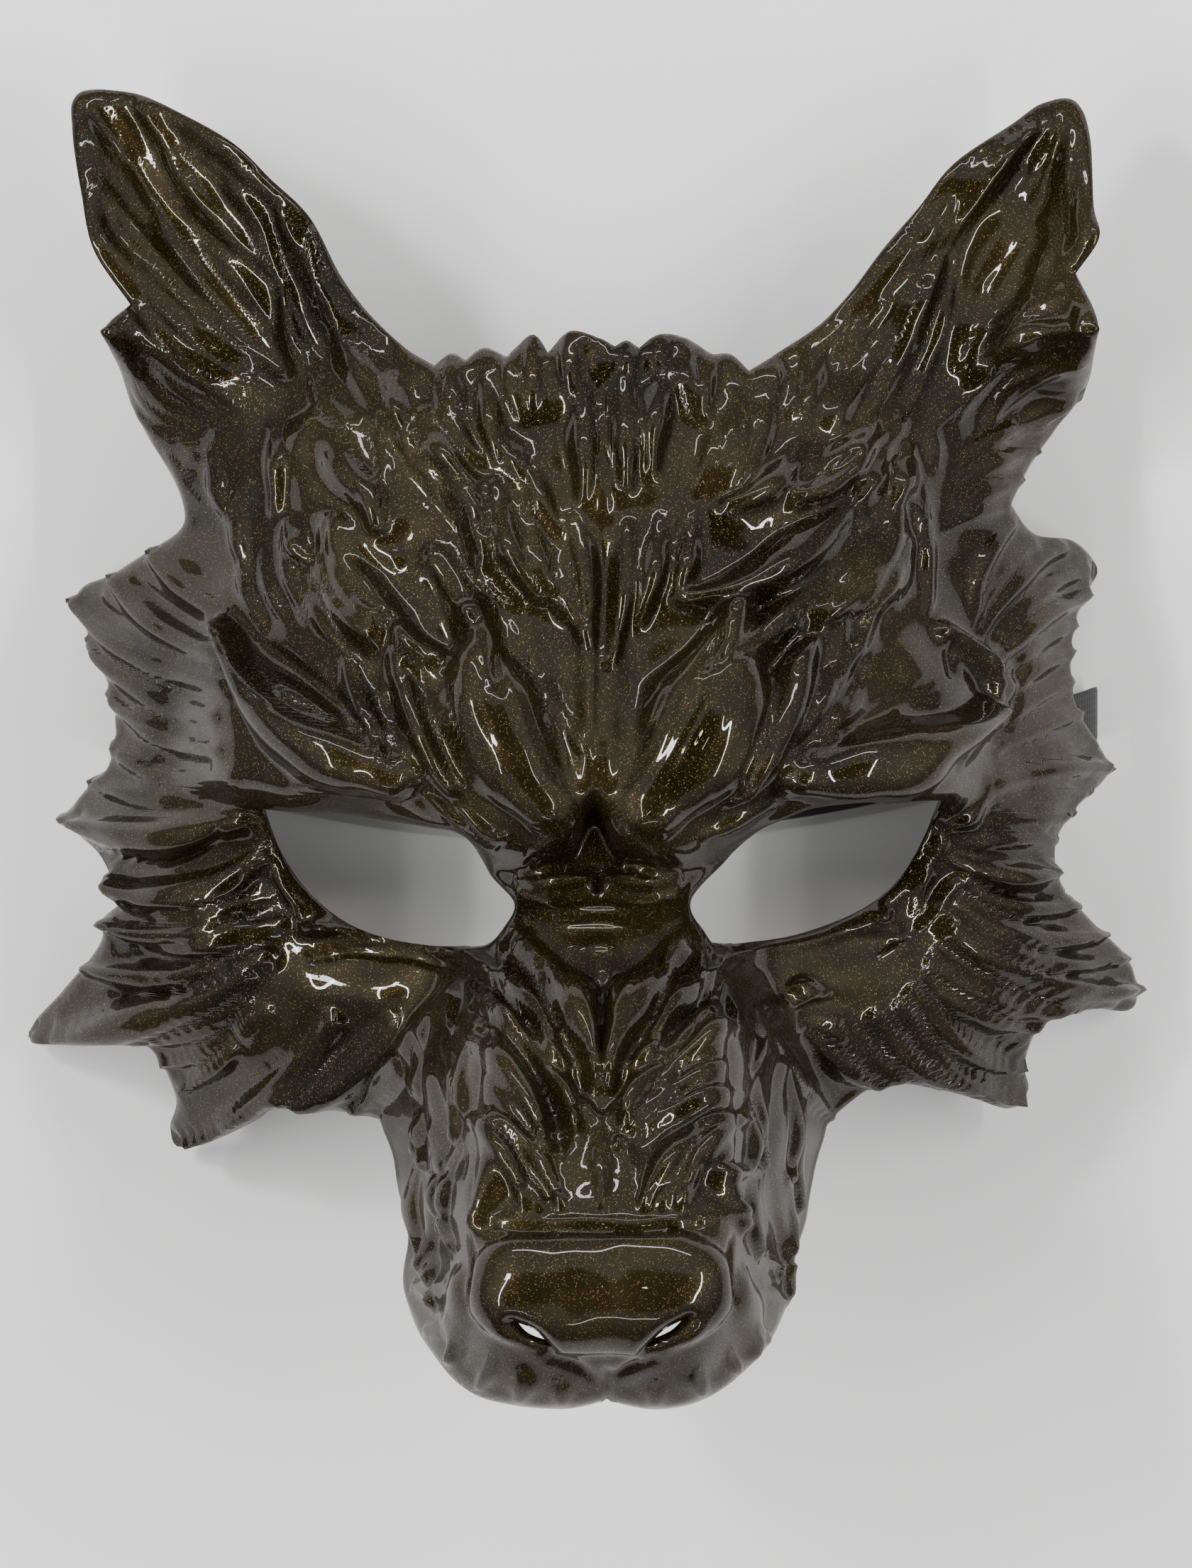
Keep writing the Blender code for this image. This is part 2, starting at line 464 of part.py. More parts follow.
def fill_sheet(mesh, loops, outlines, step, level):
    """Fill a flat sheet between loops: a lattice of faces, joined to the loops by triangles."""
    low = np.min(outlines[0], axis=0)
    high = np.max(outlines[0], axis=0)
    size = high - low
    segments = [max(2, int(math.ceil(length / step))) for length in size]
    grid = bmesh.ops.create_grid(mesh, x_segments=segments[0], y_segments=segments[1], size=0.5)
    lattice = grid["verts"]
    for vert in lattice:
        vert.co = (low[0] + (vert.co.x + 0.5) * size[0], low[1] + (vert.co.y + 0.5) * size[1], level)
    x = np.array([vert.co.x for vert in lattice])
    y = np.array([vert.co.y for vert in lattice])
    keep = is_inside(outlines[0], x, y)
    for outline in outlines[1:]:
        keep &= ~is_inside(outline, x, y)
    for outline in outlines:
        keep &= outline_distance(outline, x, y) > step * EDGE_CLEARANCE
    dropped = [vert for vert, kept in zip(lattice, keep) if not kept]
    while dropped:
        bmesh.ops.delete(mesh, geom=dropped, context="VERTS")
        lattice = [vert for vert in lattice if vert.is_valid]
        dropped = [vert for vert in lattice
                   if not vert.link_faces or sum(len(edge.link_faces) < 2 for edge in vert.link_edges) > 2]
    border = [edge for vert in lattice for edge in vert.link_edges if len(edge.link_faces) == 1]
    border = list(dict.fromkeys(border))
    bmesh.ops.triangle_fill(mesh, use_beauty=True, use_dissolve=False, normal=(0, 0, 1),
                            edges=border + [edge for loop in loops for edge in loop])


def shell_mesh():
    """The closed shell, cut out flat as a slab of two sheets and then bent to the face."""
    unrolled = Unrolled()
    outlines = [unrolled.flatten(outline_points(RIM_OUTLINE, RIM_STEP))]
    opening_step = min(RIM_STEP, step_x(OPENING_STEP))
    outlines += [unrolled.flatten(outline_points(rows, opening_step)) for rows in OPENINGS]
    mesh = bmesh.new()
    outer_level, inner_level = 0.0, -1.0
    loops = []
    for outline in outlines:
        verts = [mesh.verts.new((x, y, outer_level)) for x, y in outline]
        loops.append([mesh.edges.new((vert, after)) for vert, after in zip(verts, verts[1:] + verts[:1])])
    fill_sheet(mesh, loops, outlines, OUTER_STEP, outer_level)
    inner_loops = []
    for loop in loops:
        made = bmesh.ops.extrude_edge_only(mesh, edges=loop)["geom"]
        for vert in (item for item in made if isinstance(item, bmesh.types.BMVert)):
            vert.co.z = inner_level
        inner_loops.append([item for item in made if isinstance(item, bmesh.types.BMEdge)
                            and abs(item.verts[0].co.z + item.verts[1].co.z - 2 * inner_level) < 1e-6])
    fill_sheet(mesh, inner_loops, outlines, INNER_STEP, inner_level)
    bmesh.ops.recalc_face_normals(mesh, faces=mesh.faces[:])
    verts = mesh.verts[:]
    y = np.array([vert.co.y for vert in verts])
    x = np.array([unrolled.fold(vert.co.x, vert.co.y) for vert in verts])
    outer, inner = outer_points(x, y), inner_points(x, y, WALL)
    for index, vert in enumerate(verts):
        vert.co = outer[index] if vert.co.z > (outer_level + inner_level) / 2 else inner[index]
    lift = -min(vert.co.z for vert in verts)
    bmesh.ops.translate(mesh, verts=verts, vec=(0, 0, lift))
    return mesh, lift


def wall_point(side, share, depth, lift):
    """A point inside the wall of one side, a share of the way out to where the dome meets the table."""
    y = np.array([place_y(STRAP_WALL_ROW)])
    half = step_x(down_the_face(DOME_ROWS, 2, y))
    x = side * share * half
    return inner_points(x, y, depth)[0] + np.array((0, 0, lift))


def strap_row(x):
    """The y of the strap's middle line: it sags towards the middle of the face."""
    wall, middle = place_y(STRAP_WALL_ROW), place_y(STRAP_MIDDLE_ROW)
    return middle + (wall - middle) * (x / (MASK_WIDTH * STRAP_SAG_REACH)) ** 2


def strap_side(side, lift):
    """One end of the strap's middle line as (x, z): down the tab, out under the rim and in again."""
    depth = WALL + SEAT_GAP + TAB_THICKNESS + GLUE_GAP + STRAP_THICKNESS / 2
    line = []
    for back in (0.8, 0.4, 0.0):
        point = wall_point(side, TAB_REACH - TAB_SPAN * back, depth, lift)
        line.append((float(point[0]), float(point[2])))
    rim = wall_point(side, RIM_SHARES[side > 0], WALL, lift)
    rim_x, rim_z = float(rim[0]), float(rim[2])
    bulge = side * MASK_WIDTH * (BULGE_RIGHT if side > 0 else BULGE_LEFT)
    table = STRAP_THICKNESS / 2
    line.append((rim_x - side * TUCK_IN, rim_z - TUCK_DOWN))
    line.append((rim_x - side * RIM_PASS, rim_z - STRAP_DROP))
    line.append((bulge, table + (rim_z - STRAP_DROP - table) * 0.5))
    line.append((bulge - side * LOW_BEND_IN, table + LOW_BEND_UP))
    line.append((bulge - side * LOW_RUN_IN, table + LOW_RUN_UP))
    line.append((bulge - side * FLAT_START, table))
    return line


def curve_points(places, pieces):
    """Even steps along a smooth curve through places."""
    places = [np.array(place) for place in places]
    padded = [2 * places[0] - places[1]] + places + [2 * places[-1] - places[-2]]
    points = []
    for index in range(1, len(padded) - 2):
        before, start, end, after = padded[index - 1:index + 3]
        for t in np.arange(pieces) / pieces:
            bend = 2 * before - 5 * start + 4 * end - after
            twist = 3 * start - before - 3 * end + after
            points.append(0.5 * (2 * start + (end - before) * t + bend * t ** 2 + twist * t ** 3))
    points.append(places[-1])
    return points


def strap_mesh(lift):
    """The strap: a flat band swept from one tab to the other along the table."""
    left, right = strap_side(-1, lift), strap_side(1, lift)
    flat_left, flat_right = left[-1][0], right[-1][0]
    flat = [(flat_left + (flat_right - flat_left) * share, STRAP_THICKNESS / 2)
            for share in (0.1, 0.2, 0.35, 0.5, 0.65, 0.8, 0.9)]
    line = curve_points(left + flat + right[::-1], 3)
    mesh = bmesh.new()
    rings = []
    for index, (x, z) in enumerate(line):
        before, after = line[max(index - 1, 0)], line[min(index + 1, len(line) - 1)]
        run = np.array(after) - np.array(before)
        run /= np.hypot(*run)
        side = np.array((-run[1], run[0])) * STRAP_THICKNESS / 2
        y = strap_row(x)
        ring = []
        for lean, edge in ((1, 1), (1, -1), (-1, -1), (-1, 1)):
            ring.append(mesh.verts.new((x + lean * side[0], y + edge * STRAP_WIDTH / 2, z + lean * side[1])))
        rings.append(ring)
    for ring, following in zip(rings, rings[1:]):
        for index in range(4):
            after = (index + 1) % 4
            mesh.faces.new((ring[index], ring[after], following[after], following[index]))
    mesh.faces.new(rings[0][::-1])
    mesh.faces.new(rings[-1])
    bmesh.ops.recalc_face_normals(mesh, faces=mesh.faces[:])
    return mesh


def tab_mesh(side, lift):
    """A tab against the inner wall, as wide as the strap and its margins."""
    mesh = bmesh.new()
    half = STRAP_WIDTH / 2 + TAB_MARGIN
    middle = place_y(STRAP_WALL_ROW)
    seat = WALL + SEAT_GAP
    rings = []
    for share in np.linspace(TAB_REACH - TAB_SPAN, TAB_REACH + TAB_SPAN * 0.1, 5):
        ring = []
        corners = ((seat, -half), (seat, half), (seat + TAB_THICKNESS, half), (seat + TAB_THICKNESS, -half))
        for depth, edge in corners:
            outer = step_x(down_the_face(DOME_ROWS, 2, np.array([middle]))) * share * side
            point = inner_points(outer, np.array([middle + edge]), depth)[0]
            ring.append(mesh.verts.new((point[0], middle + edge, point[2] + lift)))
        rings.append(ring)
    for ring, following in zip(rings, rings[1:]):
        for index in range(4):
            after = (index + 1) % 4
            mesh.faces.new((ring[index], ring[after], following[after], following[index]))
    mesh.faces.new(rings[0][::-1])
    mesh.faces.new(rings[-1])
    bmesh.ops.recalc_face_normals(mesh, faces=mesh.faces[:])
    return mesh


def plain_material(name, colour, roughness, metallic, coat):
    material = bpy.data.materials.new(name)
    material.use_nodes = True
    shader = material.node_tree.nodes["Principled BSDF"]
    shader.inputs["Base Color"].default_value = (*colour, 1.0)
    shader.inputs["Roughness"].default_value = roughness
    shader.inputs["Metallic"].default_value = metallic
    shader.inputs["Coat Weight"].default_value = coat
    return material


def add_object(name, mesh, material):
    data = bpy.data.meshes.new(name)
    bmesh.ops.triangulate(mesh, faces=mesh.faces[:])
    mesh.to_mesh(data)
    mesh.free()
    data.materials.append(material)
    data.shade_smooth()
    data.set_sharp_from_angle(angle=math.radians(40))
    made = bpy.data.objects.new(name, data)
    bpy.context.scene.collection.objects.link(made)
    return made


def main():
    for old in list(bpy.data.objects):
        bpy.data.objects.remove(old, do_unlink=True)
    lacquer = plain_material("bronze_lacquer", (0.10, 0.075, 0.045), 0.30, 0.60, 1.0)
    elastic = plain_material("black_elastic", (0.012, 0.012, 0.013), 0.85, 0.0, 0.0)
    plastic = plain_material("black_plastic", (0.03, 0.03, 0.03), 0.50, 0.0, 0.0)
    shell, lift = shell_mesh()
    add_object("mask_shell", shell, lacquer)
    add_object("elastic_strap", strap_mesh(lift), elastic)
    add_object("strap_anchor_left", tab_mesh(-1, lift), plastic)
    add_object("strap_anchor_right", tab_mesh(1, lift), plastic)


main()
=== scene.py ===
"""The looks of a wolf half mask: a carved, lacquered shell, its elastic strap and the strap's tabs.

Places on the mask are written in chart steps, taken over its front view with y running down, and turned into
metres by the Chart. Heights in the tables are shares of the mask's depth.
"""

from __future__ import annotations

import logging
import math
from dataclasses import dataclass, field
from enum import Enum
from typing import NamedTuple, Sequence

import bmesh
import bpy
import numpy as np
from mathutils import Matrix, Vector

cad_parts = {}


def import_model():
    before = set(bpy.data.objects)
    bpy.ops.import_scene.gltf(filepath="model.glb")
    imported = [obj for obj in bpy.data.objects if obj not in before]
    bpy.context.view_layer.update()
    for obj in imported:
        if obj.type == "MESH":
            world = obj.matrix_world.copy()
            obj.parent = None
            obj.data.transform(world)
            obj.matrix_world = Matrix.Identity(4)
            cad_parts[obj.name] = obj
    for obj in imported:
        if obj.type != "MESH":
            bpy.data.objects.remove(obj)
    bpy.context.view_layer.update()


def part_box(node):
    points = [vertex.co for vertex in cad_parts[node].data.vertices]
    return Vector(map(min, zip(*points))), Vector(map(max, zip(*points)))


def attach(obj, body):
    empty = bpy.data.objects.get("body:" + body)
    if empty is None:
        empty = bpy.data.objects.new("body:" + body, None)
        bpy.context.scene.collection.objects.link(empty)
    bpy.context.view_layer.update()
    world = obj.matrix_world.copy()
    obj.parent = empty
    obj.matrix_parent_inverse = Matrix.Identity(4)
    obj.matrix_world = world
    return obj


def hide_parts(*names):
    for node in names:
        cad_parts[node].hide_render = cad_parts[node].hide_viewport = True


LOG = logging.getLogger("wolf_mask")


class Turn(Enum):
    """How an outline passes one of its points."""

    SHARP = "sharp"
    SMOOTH = "smooth"


SHARP = Turn.SHARP


class Corner(NamedTuple):
    """One point of an outline, passed smoothly unless it is marked sharp."""

    x: int
    y: int
    turn: Turn = Turn.SMOOTH


Outline = tuple[Corner, ...]


def outline(*rows: tuple) -> Outline:
    """The corners of an outline from their rows."""
    return tuple(Corner(*row) for row in rows)


RIM_OUTLINE = outline(
    (116, 130), (180, 136), (250, 169), (323, 212), (375, 261), (431, 315), (476, 396), (520, 452),
    (565, 490), (612, 516, SHARP), (636, 498), (656, 508, SHARP), (682, 491), (715, 505, SHARP), (748, 474),
    (770, 499, SHARP), (801, 470), (845, 480), (867, 491, SHARP), (884, 483), (903, 493, SHARP), (932, 474),
    (968, 479), (1004, 501, SHARP), (1030, 500), (1056, 523, SHARP), (1100, 499), (1154, 466), (1200, 421),
    (1250, 356), (1300, 299), (1350, 238), (1430, 181), (1474, 148), (1512, 142), (1526, 190), (1529, 288),
    (1536, 334), (1505, 384, SHARP), (1534, 457), (1532, 549), (1492, 607), (1450, 668), (1428, 712, SHARP),
    (1462, 753), (1518, 763), (1552, 800), (1538, 835), (1516, 893), (1514, 965), (1530, 1010),
    (1567, 1083), (1523, 1135), (1493, 1187), (1496, 1239), (1541, 1296), (1593, 1348), (1609, 1395),
    (1596, 1426), (1535, 1423), (1471, 1448), (1447, 1500), (1452, 1540), (1424, 1565), (1350, 1543),
    (1252, 1526), (1172, 1578, SHARP), (1150, 1651), (1130, 1739), (1118, 1812), (1084, 1887), (1016, 1953),
    (933, 1981), (855, 1970, SHARP), (784, 1981), (682, 1964), (618, 1915), (573, 1836), (571, 1739),
    (558, 1646), (536, 1578, SHARP), (461, 1565), (404, 1553), (346, 1582), (254, 1620), (236, 1594),
    (245, 1545), (196, 1472), (115, 1476), (56, 1467), (43, 1446), (86, 1392), (138, 1328), (141, 1296),
    (167, 1273, SHARP), (137, 1207), (91, 1152), (130, 1096), (150, 1078), (159, 1020), (144, 950),
    (102, 841), (156, 809), (203, 780, SHARP), (249, 748), (256, 716), (231, 659), (186, 582), (171, 530),
    (154, 480), (164, 454), (193, 427, SHARP), (144, 351), (126, 270), (112, 180),
)
LEFT_EYE = outline(
    (370, 1146, SHARP), (398, 1213), (444, 1273), (509, 1312), (616, 1332), (680, 1327), (710, 1296),
    (720, 1268), (691, 1237), (654, 1186), (589, 1168), (455, 1152),
)
RIGHT_EYE = outline(
    (1328, 1134, SHARP), (1215, 1139), (1129, 1149), (1070, 1178), (1022, 1219), (978, 1265), (993, 1304),
    (1017, 1326), (1108, 1319), (1199, 1294), (1258, 1256), (1295, 1205),
)
LEFT_NOSTRIL = outline(
    (722, 1850, SHARP), (756, 1864), (778, 1890, SHARP), (744, 1876),
)
RIGHT_NOSTRIL = outline(
    (970, 1844, SHARP), (946, 1872), (908, 1890, SHARP), (934, 1863),
)
OPENINGS: tuple[Outline, ...] = (LEFT_EYE, RIGHT_EYE, LEFT_NOSTRIL, RIGHT_NOSTRIL)


class DomeRow(NamedTuple):
    """One row of the face's dome: crown height and the half width where it would meet the table."""

    y: int
    crown: float
    half_width: int


class SnoutRow(NamedTuple):
    """One row of the snout: half widths and heights of its top and its rim."""

    y: int
    top_half: int
    rim_half: int
    top: float
    rim: float


class Ear(NamedTuple):
    """One ear: the middle of its base, its tip and half its width at the base."""

    base: tuple[int, int]
    tip: tuple[int, int]
    half_width: int


class Lock(NamedTuple):
    """One lock of fur or one groove: root, tip, sideways bow, half width and height.

    The bow is a share of the lock's length and the height is a share of the tallest lock's.
    """

    root_x: int
    root_y: int
    tip_x: int
    tip_y: int
    bow: float
    half_width: int
    height: float


DOME = tuple(DomeRow(*row) for row in (
    (100, 0.33, 770), (300, 0.35, 760), (470, 0.38, 745), (560, 0.43, 738), (650, 0.47, 732),
    (760, 0.515, 726), (840, 0.535, 728), (920, 0.55, 737), (1050, 0.56, 750), (1160, 0.55, 764),
    (1240, 0.52, 773), (1340, 0.47, 781), (1440, 0.42, 784), (1500, 0.385, 720), (1577, 0.335, 642),
    (1620, 0.29, 598), (1700, 0.17, 580), (1800, -0.02, 580), (2000, -0.40, 580),
))
SNOUT = tuple(SnoutRow(*row) for row in (
    (1000, 50, 140, 0.42, 0.34), (1120, 62, 150, 0.50, 0.40), (1200, 90, 168, 0.530, 0.42),
    (1264, 108, 188, 0.565, 0.42), (1340, 134, 218, 0.640, 0.42), (1400, 162, 250, 0.700, 0.40),
    (1470, 186, 282, 0.765, 0.37), (1580, 192, 312, 0.855, 0.30), (1650, 190, 297, 0.905, 0.36),
    (1709, 186, 282, 0.935, 0.44), (1773, 182, 278, 0.972, 0.54), (1830, 176, 268, 0.975, 0.64),
    (1880, 160, 250, 0.945, 0.72), (1930, 128, 212, 0.880, 0.78), (1981, 80, 160, 0.800, 0.79),
    (2060, 60, 130, 0.660, 0.65),
))
BROW_EDGE: tuple[tuple[int, int], ...] = (
    (250, 1075), (320, 1090), (400, 1106), (480, 1112), (560, 1126), (640, 1156), (720, 1186),
    (765, 1190), (805, 1165), (836, 1108), (868, 1160), (905, 1190), (950, 1190), (1010, 1168),
    (1070, 1140), (1150, 1122), (1250, 1114), (1330, 1108), (1400, 1085), (1460, 1070),
)
EARS = (Ear((368, 520), (128, 132), 165), Ear((1312, 520), (1508, 146), 165))

CREST_LOCKS = (
    (634, 506, 662, 592, -0.1, 14, 1.3), (688, 530, 704, 655, -0.04, 19, 1.2),
    (722, 494, 738, 596, -0.08, 15, 1.2), (750, 482, 752, 590, 0, 15, 1.3),
    (802, 478, 806, 560, 0, 16, 1.1), (816, 560, 822, 706, 0.04, 24, 1.2), (850, 550, 850, 735, 0, 11, 1),
    (846, 486, 846, 545, 0, 14, 1), (880, 540, 882, 692, 0, 24, 1.2), (884, 488, 884, 540, 0, 14, 1),
    (940, 528, 918, 668, -0.06, 24, 1.3), (932, 480, 925, 540, 0, 14, 1),
    (966, 486, 978, 590, -0.08, 17, 1.1), (1003, 505, 990, 600, -0.06, 15, 1.1),
    (1004, 590, 984, 692, 0.06, 14, 1.1), (1034, 560, 1004, 690, 0.06, 16, 1.2),
    (1058, 585, 1018, 702, 0.04, 17, 1.2), (1084, 560, 1044, 690, 0.04, 16, 1.1),
    (1090, 510, 1088, 570, 0.04, 14, 1), (1124, 500, 1108, 590, 0.06, 15, 1),
    (1160, 500, 1128, 590, 0.06, 16, 0.9), (1116, 640, 1018, 718, 0.14, 26, 1.2),
    (715, 612, 748, 690, -0.08, 16, 1), (745, 650, 790, 756, -0.06, 15, 1), (846, 500, 844, 600, 0, 8, -1),
    (846, 740, 838, 1125, 0.02, 10, -1.6), (560, 540, 585, 620, -0.1, 20, 0.8),
    (540, 590, 560, 740, -0.04, 16, 0.9), (575, 600, 590, 660, -0.06, 14, 0.8),
    (622, 545, 680, 655, -0.1, 19, 1.1),
)
FOREHEAD_LOCKS = (
    (602, 590, 672, 690, -0.12, 28, 1.2), (618, 670, 688, 756, -0.08, 17, 1),
    (592, 655, 690, 822, 0.12, 30, 1.3), (650, 740, 730, 850, -0.08, 19, 0.9),
    (446, 606, 540, 748, 0.1, 46, 1.3), (386, 606, 388, 724, 0.06, 17, 1.1),
    (500, 600, 545, 690, -0.1, 24, 0.8), (408, 742, 446, 796, -0.1, 19, 1.3),
    (480, 752, 618, 934, -0.18, 50, 1.4), (480, 790, 556, 880, -0.08, 15, 1.1),
    (450, 786, 480, 846, -0.08, 13, 1.1), (404, 770, 440, 880, -0.06, 14, 0.9),
    (372, 800, 414, 890, -0.06, 14, 0.9), (432, 800, 500, 930, -0.08, 17, 0.9),
    (616, 790, 706, 998, 0.06, 36, 1.3), (556, 890, 642, 1112, -0.1, 28, 1.3),
    (494, 925, 562, 1082, -0.08, 22, 1.2), (556, 976, 614, 1098, -0.08, 16, 1.1),
    (612, 935, 652, 1058, -0.08, 18, 1), (700, 690, 762, 850, -0.08, 24, 1.5),
    (744, 724, 796, 872, -0.05, 18, 1.5), (786, 780, 828, 905, -0.05, 17, 1.5),
    (748, 850, 828, 1060, -0.1, 15, 1), (300, 640, 345, 760, -0.08, 20, 0.8),
    (338, 700, 352, 810, -0.06, 17, 0.8), (340, 800, 372, 880, -0.05, 15, 0.8),
    (1256, 606, 1120, 706, 0.1, 48, 1.1), (1190, 692, 962, 848, 0.14, 36, 1.3),
    (1190, 756, 1002, 966, 0.04, 30, 1.3), (1252, 730, 1120, 890, 0.1, 50, 1.3),
    (1190, 650, 1120, 700, 0.1, 18, 0.8), (1278, 640, 1250, 720, 0.04, 26, 0.9),
    (1276, 770, 1212, 872, 0.06, 26, 1.1), (1270, 700, 1292, 782, 0.2, 11, 1.1),
    (1302, 690, 1306, 862, 0, 13, 1.1), (1186, 884, 1112, 1062, 0.08, 17, 1.2),
    (1206, 926, 1126, 1070, 0.06, 17, 1.2), (1210, 960, 1150, 1050, 0.1, 15, 0.9),
    (1130, 880, 1044, 1122, 0.08, 28, 1.3), (1230, 870, 1180, 960, 0.06, 22, 1),
    (1010, 908, 980, 976, 0.04, 10, 0.9), (806, 735, 834, 900, 0.04, 17, 1.5),
    (884, 745, 856, 935, 0.04, 18, 1.5), (930, 735, 900, 880, 0.04, 19, 1.5),
    (975, 735, 948, 850, 0.04, 17, 1.5), (700, 850, 742, 940, -0.06, 15, 0.8),
    (470, 745, 596, 925, -0.2, 12, -1.2), (600, 700, 668, 832, 0.1, 10, -1.2),
    (548, 900, 618, 1110, -0.1, 10, -1.2), (610, 820, 690, 1000, 0.04, 9, -1),
    (1200, 740, 1020, 880, 0.12, 11, -1.2), (1200, 800, 1030, 985, 0.06, 10, -1.2),
    (1262, 800, 1062, 1120, 0.08, 11, -1.2), (1232, 640, 1100, 745, 0.12, 10, -1),
)
BROW_LOCKS = (
    (778, 1138, 672, 880, 0.09, 78, 1.4), (914, 1138, 1034, 870, -0.08, 94, 1.4),
    (570, 1095, 326, 888, 0.14, 56, 1.5), (520, 1040, 350, 915, 0.12, 16, 0.9),
    (570, 1085, 330, 880, -0.04, 11, -1.2), (480, 1110, 318, 930, 0.16, 9, -0.7),
    (380, 1010, 470, 1035, 0.1, 10, -0.6), (1125, 1090, 1372, 1010, -0.12, 58, 1.5),
    (1352, 1065, 1322, 888, -0.3, 24, 1.5), (1180, 1035, 1345, 950, 0.02, 12, -1.4),
    (1395, 1050, 1345, 880, -0.34, 9, -0.8), (1338, 950, 1336, 905, 0, 10, -1.2),
    (600, 1115, 715, 1180, -0.06, 18, 0.6), (1090, 1130, 985, 1180, 0.06, 18, 0.6),
    (620, 1120, 700, 1190, -0.04, 9, -0.8), (420, 1110, 560, 1128, 0, 12, 0.5),
    (1170, 1120, 1300, 1112, 0, 12, 0.5),
)
EAR_LOCKS = (
    (500, 612, 402, 400, 0.1, 20, 1), (400, 400, 206, 152, 0.06, 16, 0.9),
    (398, 418, 262, 215, -0.14, 15, 0.8), (278, 255, 210, 165, 0.04, 12, 0.8),
    (345, 270, 270, 215, 0.02, 10, 0.6), (196, 230, 150, 146, -0.08, 11, 0.8),
    (160, 250, 122, 176, 0.05, 12, 0.8), (175, 270, 128, 182, -0.05, 8, 0.7),
    (132, 300, 136, 252, 0, 9, 0.7), (345, 480, 140, 262, 0.04, 16, 0.7),
    (365, 470, 215, 290, 0.04, 14, 0.7), (385, 470, 260, 330, -0.06, 12, 0.7),
    (250, 410, 190, 372, 0.04, 9, 0.8), (340, 500, 192, 380, 0.06, 14, 0.7),
    (190, 395, 140, 320, 0.05, 12, 0.8), (350, 540, 196, 415, 0.1, 14, 0.7),
    (340, 560, 180, 445, 0.1, 15, 0.8), (305, 600, 172, 495, 0.1, 15, 0.8),
    (330, 600, 200, 500, 0.06, 12, 0.7), (322, 620, 180, 530, 0.12, 15, 0.8),
    (300, 615, 186, 575, 0.1, 14, 0.7), (310, 655, 215, 605, 0.08, 14, 0.8),
    (350, 590, 260, 505, 0.02, 10, 0.7), (300, 720, 238, 640, 0.06, 14, 0.8),
    (330, 740, 262, 660, 0.04, 10, 0.7), (420, 500, 455, 590, 0.04, 14, 0.7),
    (470, 430, 400, 300, 0.02, 26, 0.6), (520, 500, 440, 340, 0.06, 18, 0.6),
    (440, 330, 330, 235, -0.04, 12, 0.6), (550, 600, 480, 450, 0.04, 24, 0.6),
    (1222, 590, 1330, 352, -0.02, 22, 1), (1275, 585, 1345, 360, -0.04, 14, 0.8),
    (1325, 360, 1445, 185, 0.04, 24, 0.9), (1345, 350, 1475, 168, 0.04, 14, 0.8),
    (1432, 250, 1438, 190, 0.1, 9, 0.8), (1450, 240, 1478, 168, -0.08, 10, 0.8),
    (1340, 320, 1400, 215, 0.03, 18, 0.6), (1440, 345, 1476, 296, -0.06, 9, 0.9),
    (1442, 396, 1474, 352, -0.04, 9, 0.9), (1380, 400, 1440, 300, -0.04, 18, 0.5),
    (1360, 480, 1450, 440, 0.1, 10, 0.6), (1350, 520, 1500, 415, 0.06, 14, 0.5),
    (1372, 545, 1525, 470, 0.16, 22, 0.9), (1390, 600, 1525, 515, 0.16, 20, 0.9),
    (1344, 595, 1420, 520, 0.12, 14, 0.8), (1430, 612, 1520, 560, 0.08, 22, 0.8),
    (1425, 605, 1428, 580, 0, 8, 0.8), (1350, 660, 1470, 600, 0.12, 16, 0.9),
    (1340, 700, 1465, 640, 0.12, 16, 0.9), (1330, 740, 1440, 680, 0.1, 16, 0.8),
    (1310, 760, 1420, 715, 0.08, 14, 0.7), (1180, 590, 1290, 400, -0.02, 18, 0.6),
    (1150, 560, 1240, 430, 0.02, 18, 0.6), (1120, 560, 1190, 460, 0.04, 14, 0.7),
    (1200, 450, 1280, 340, -0.02, 12, 0.5), (1500, 330, 1508, 170, 0.02, 14, 0.5),
    (1522, 350, 1518, 270, 0.06, 10, 0.7), (1508, 470, 1528, 440, 0, 12, 0.7),
    (1300, 620, 1370, 560, 0.1, 12, 0.7), (1318, 660, 1312, 610, 0, 10, 0.8),
    (400, 520, 190, 230, 0.03, 34, -1.2), (1370, 500, 1480, 220, -0.03, 34, -1.2),
)
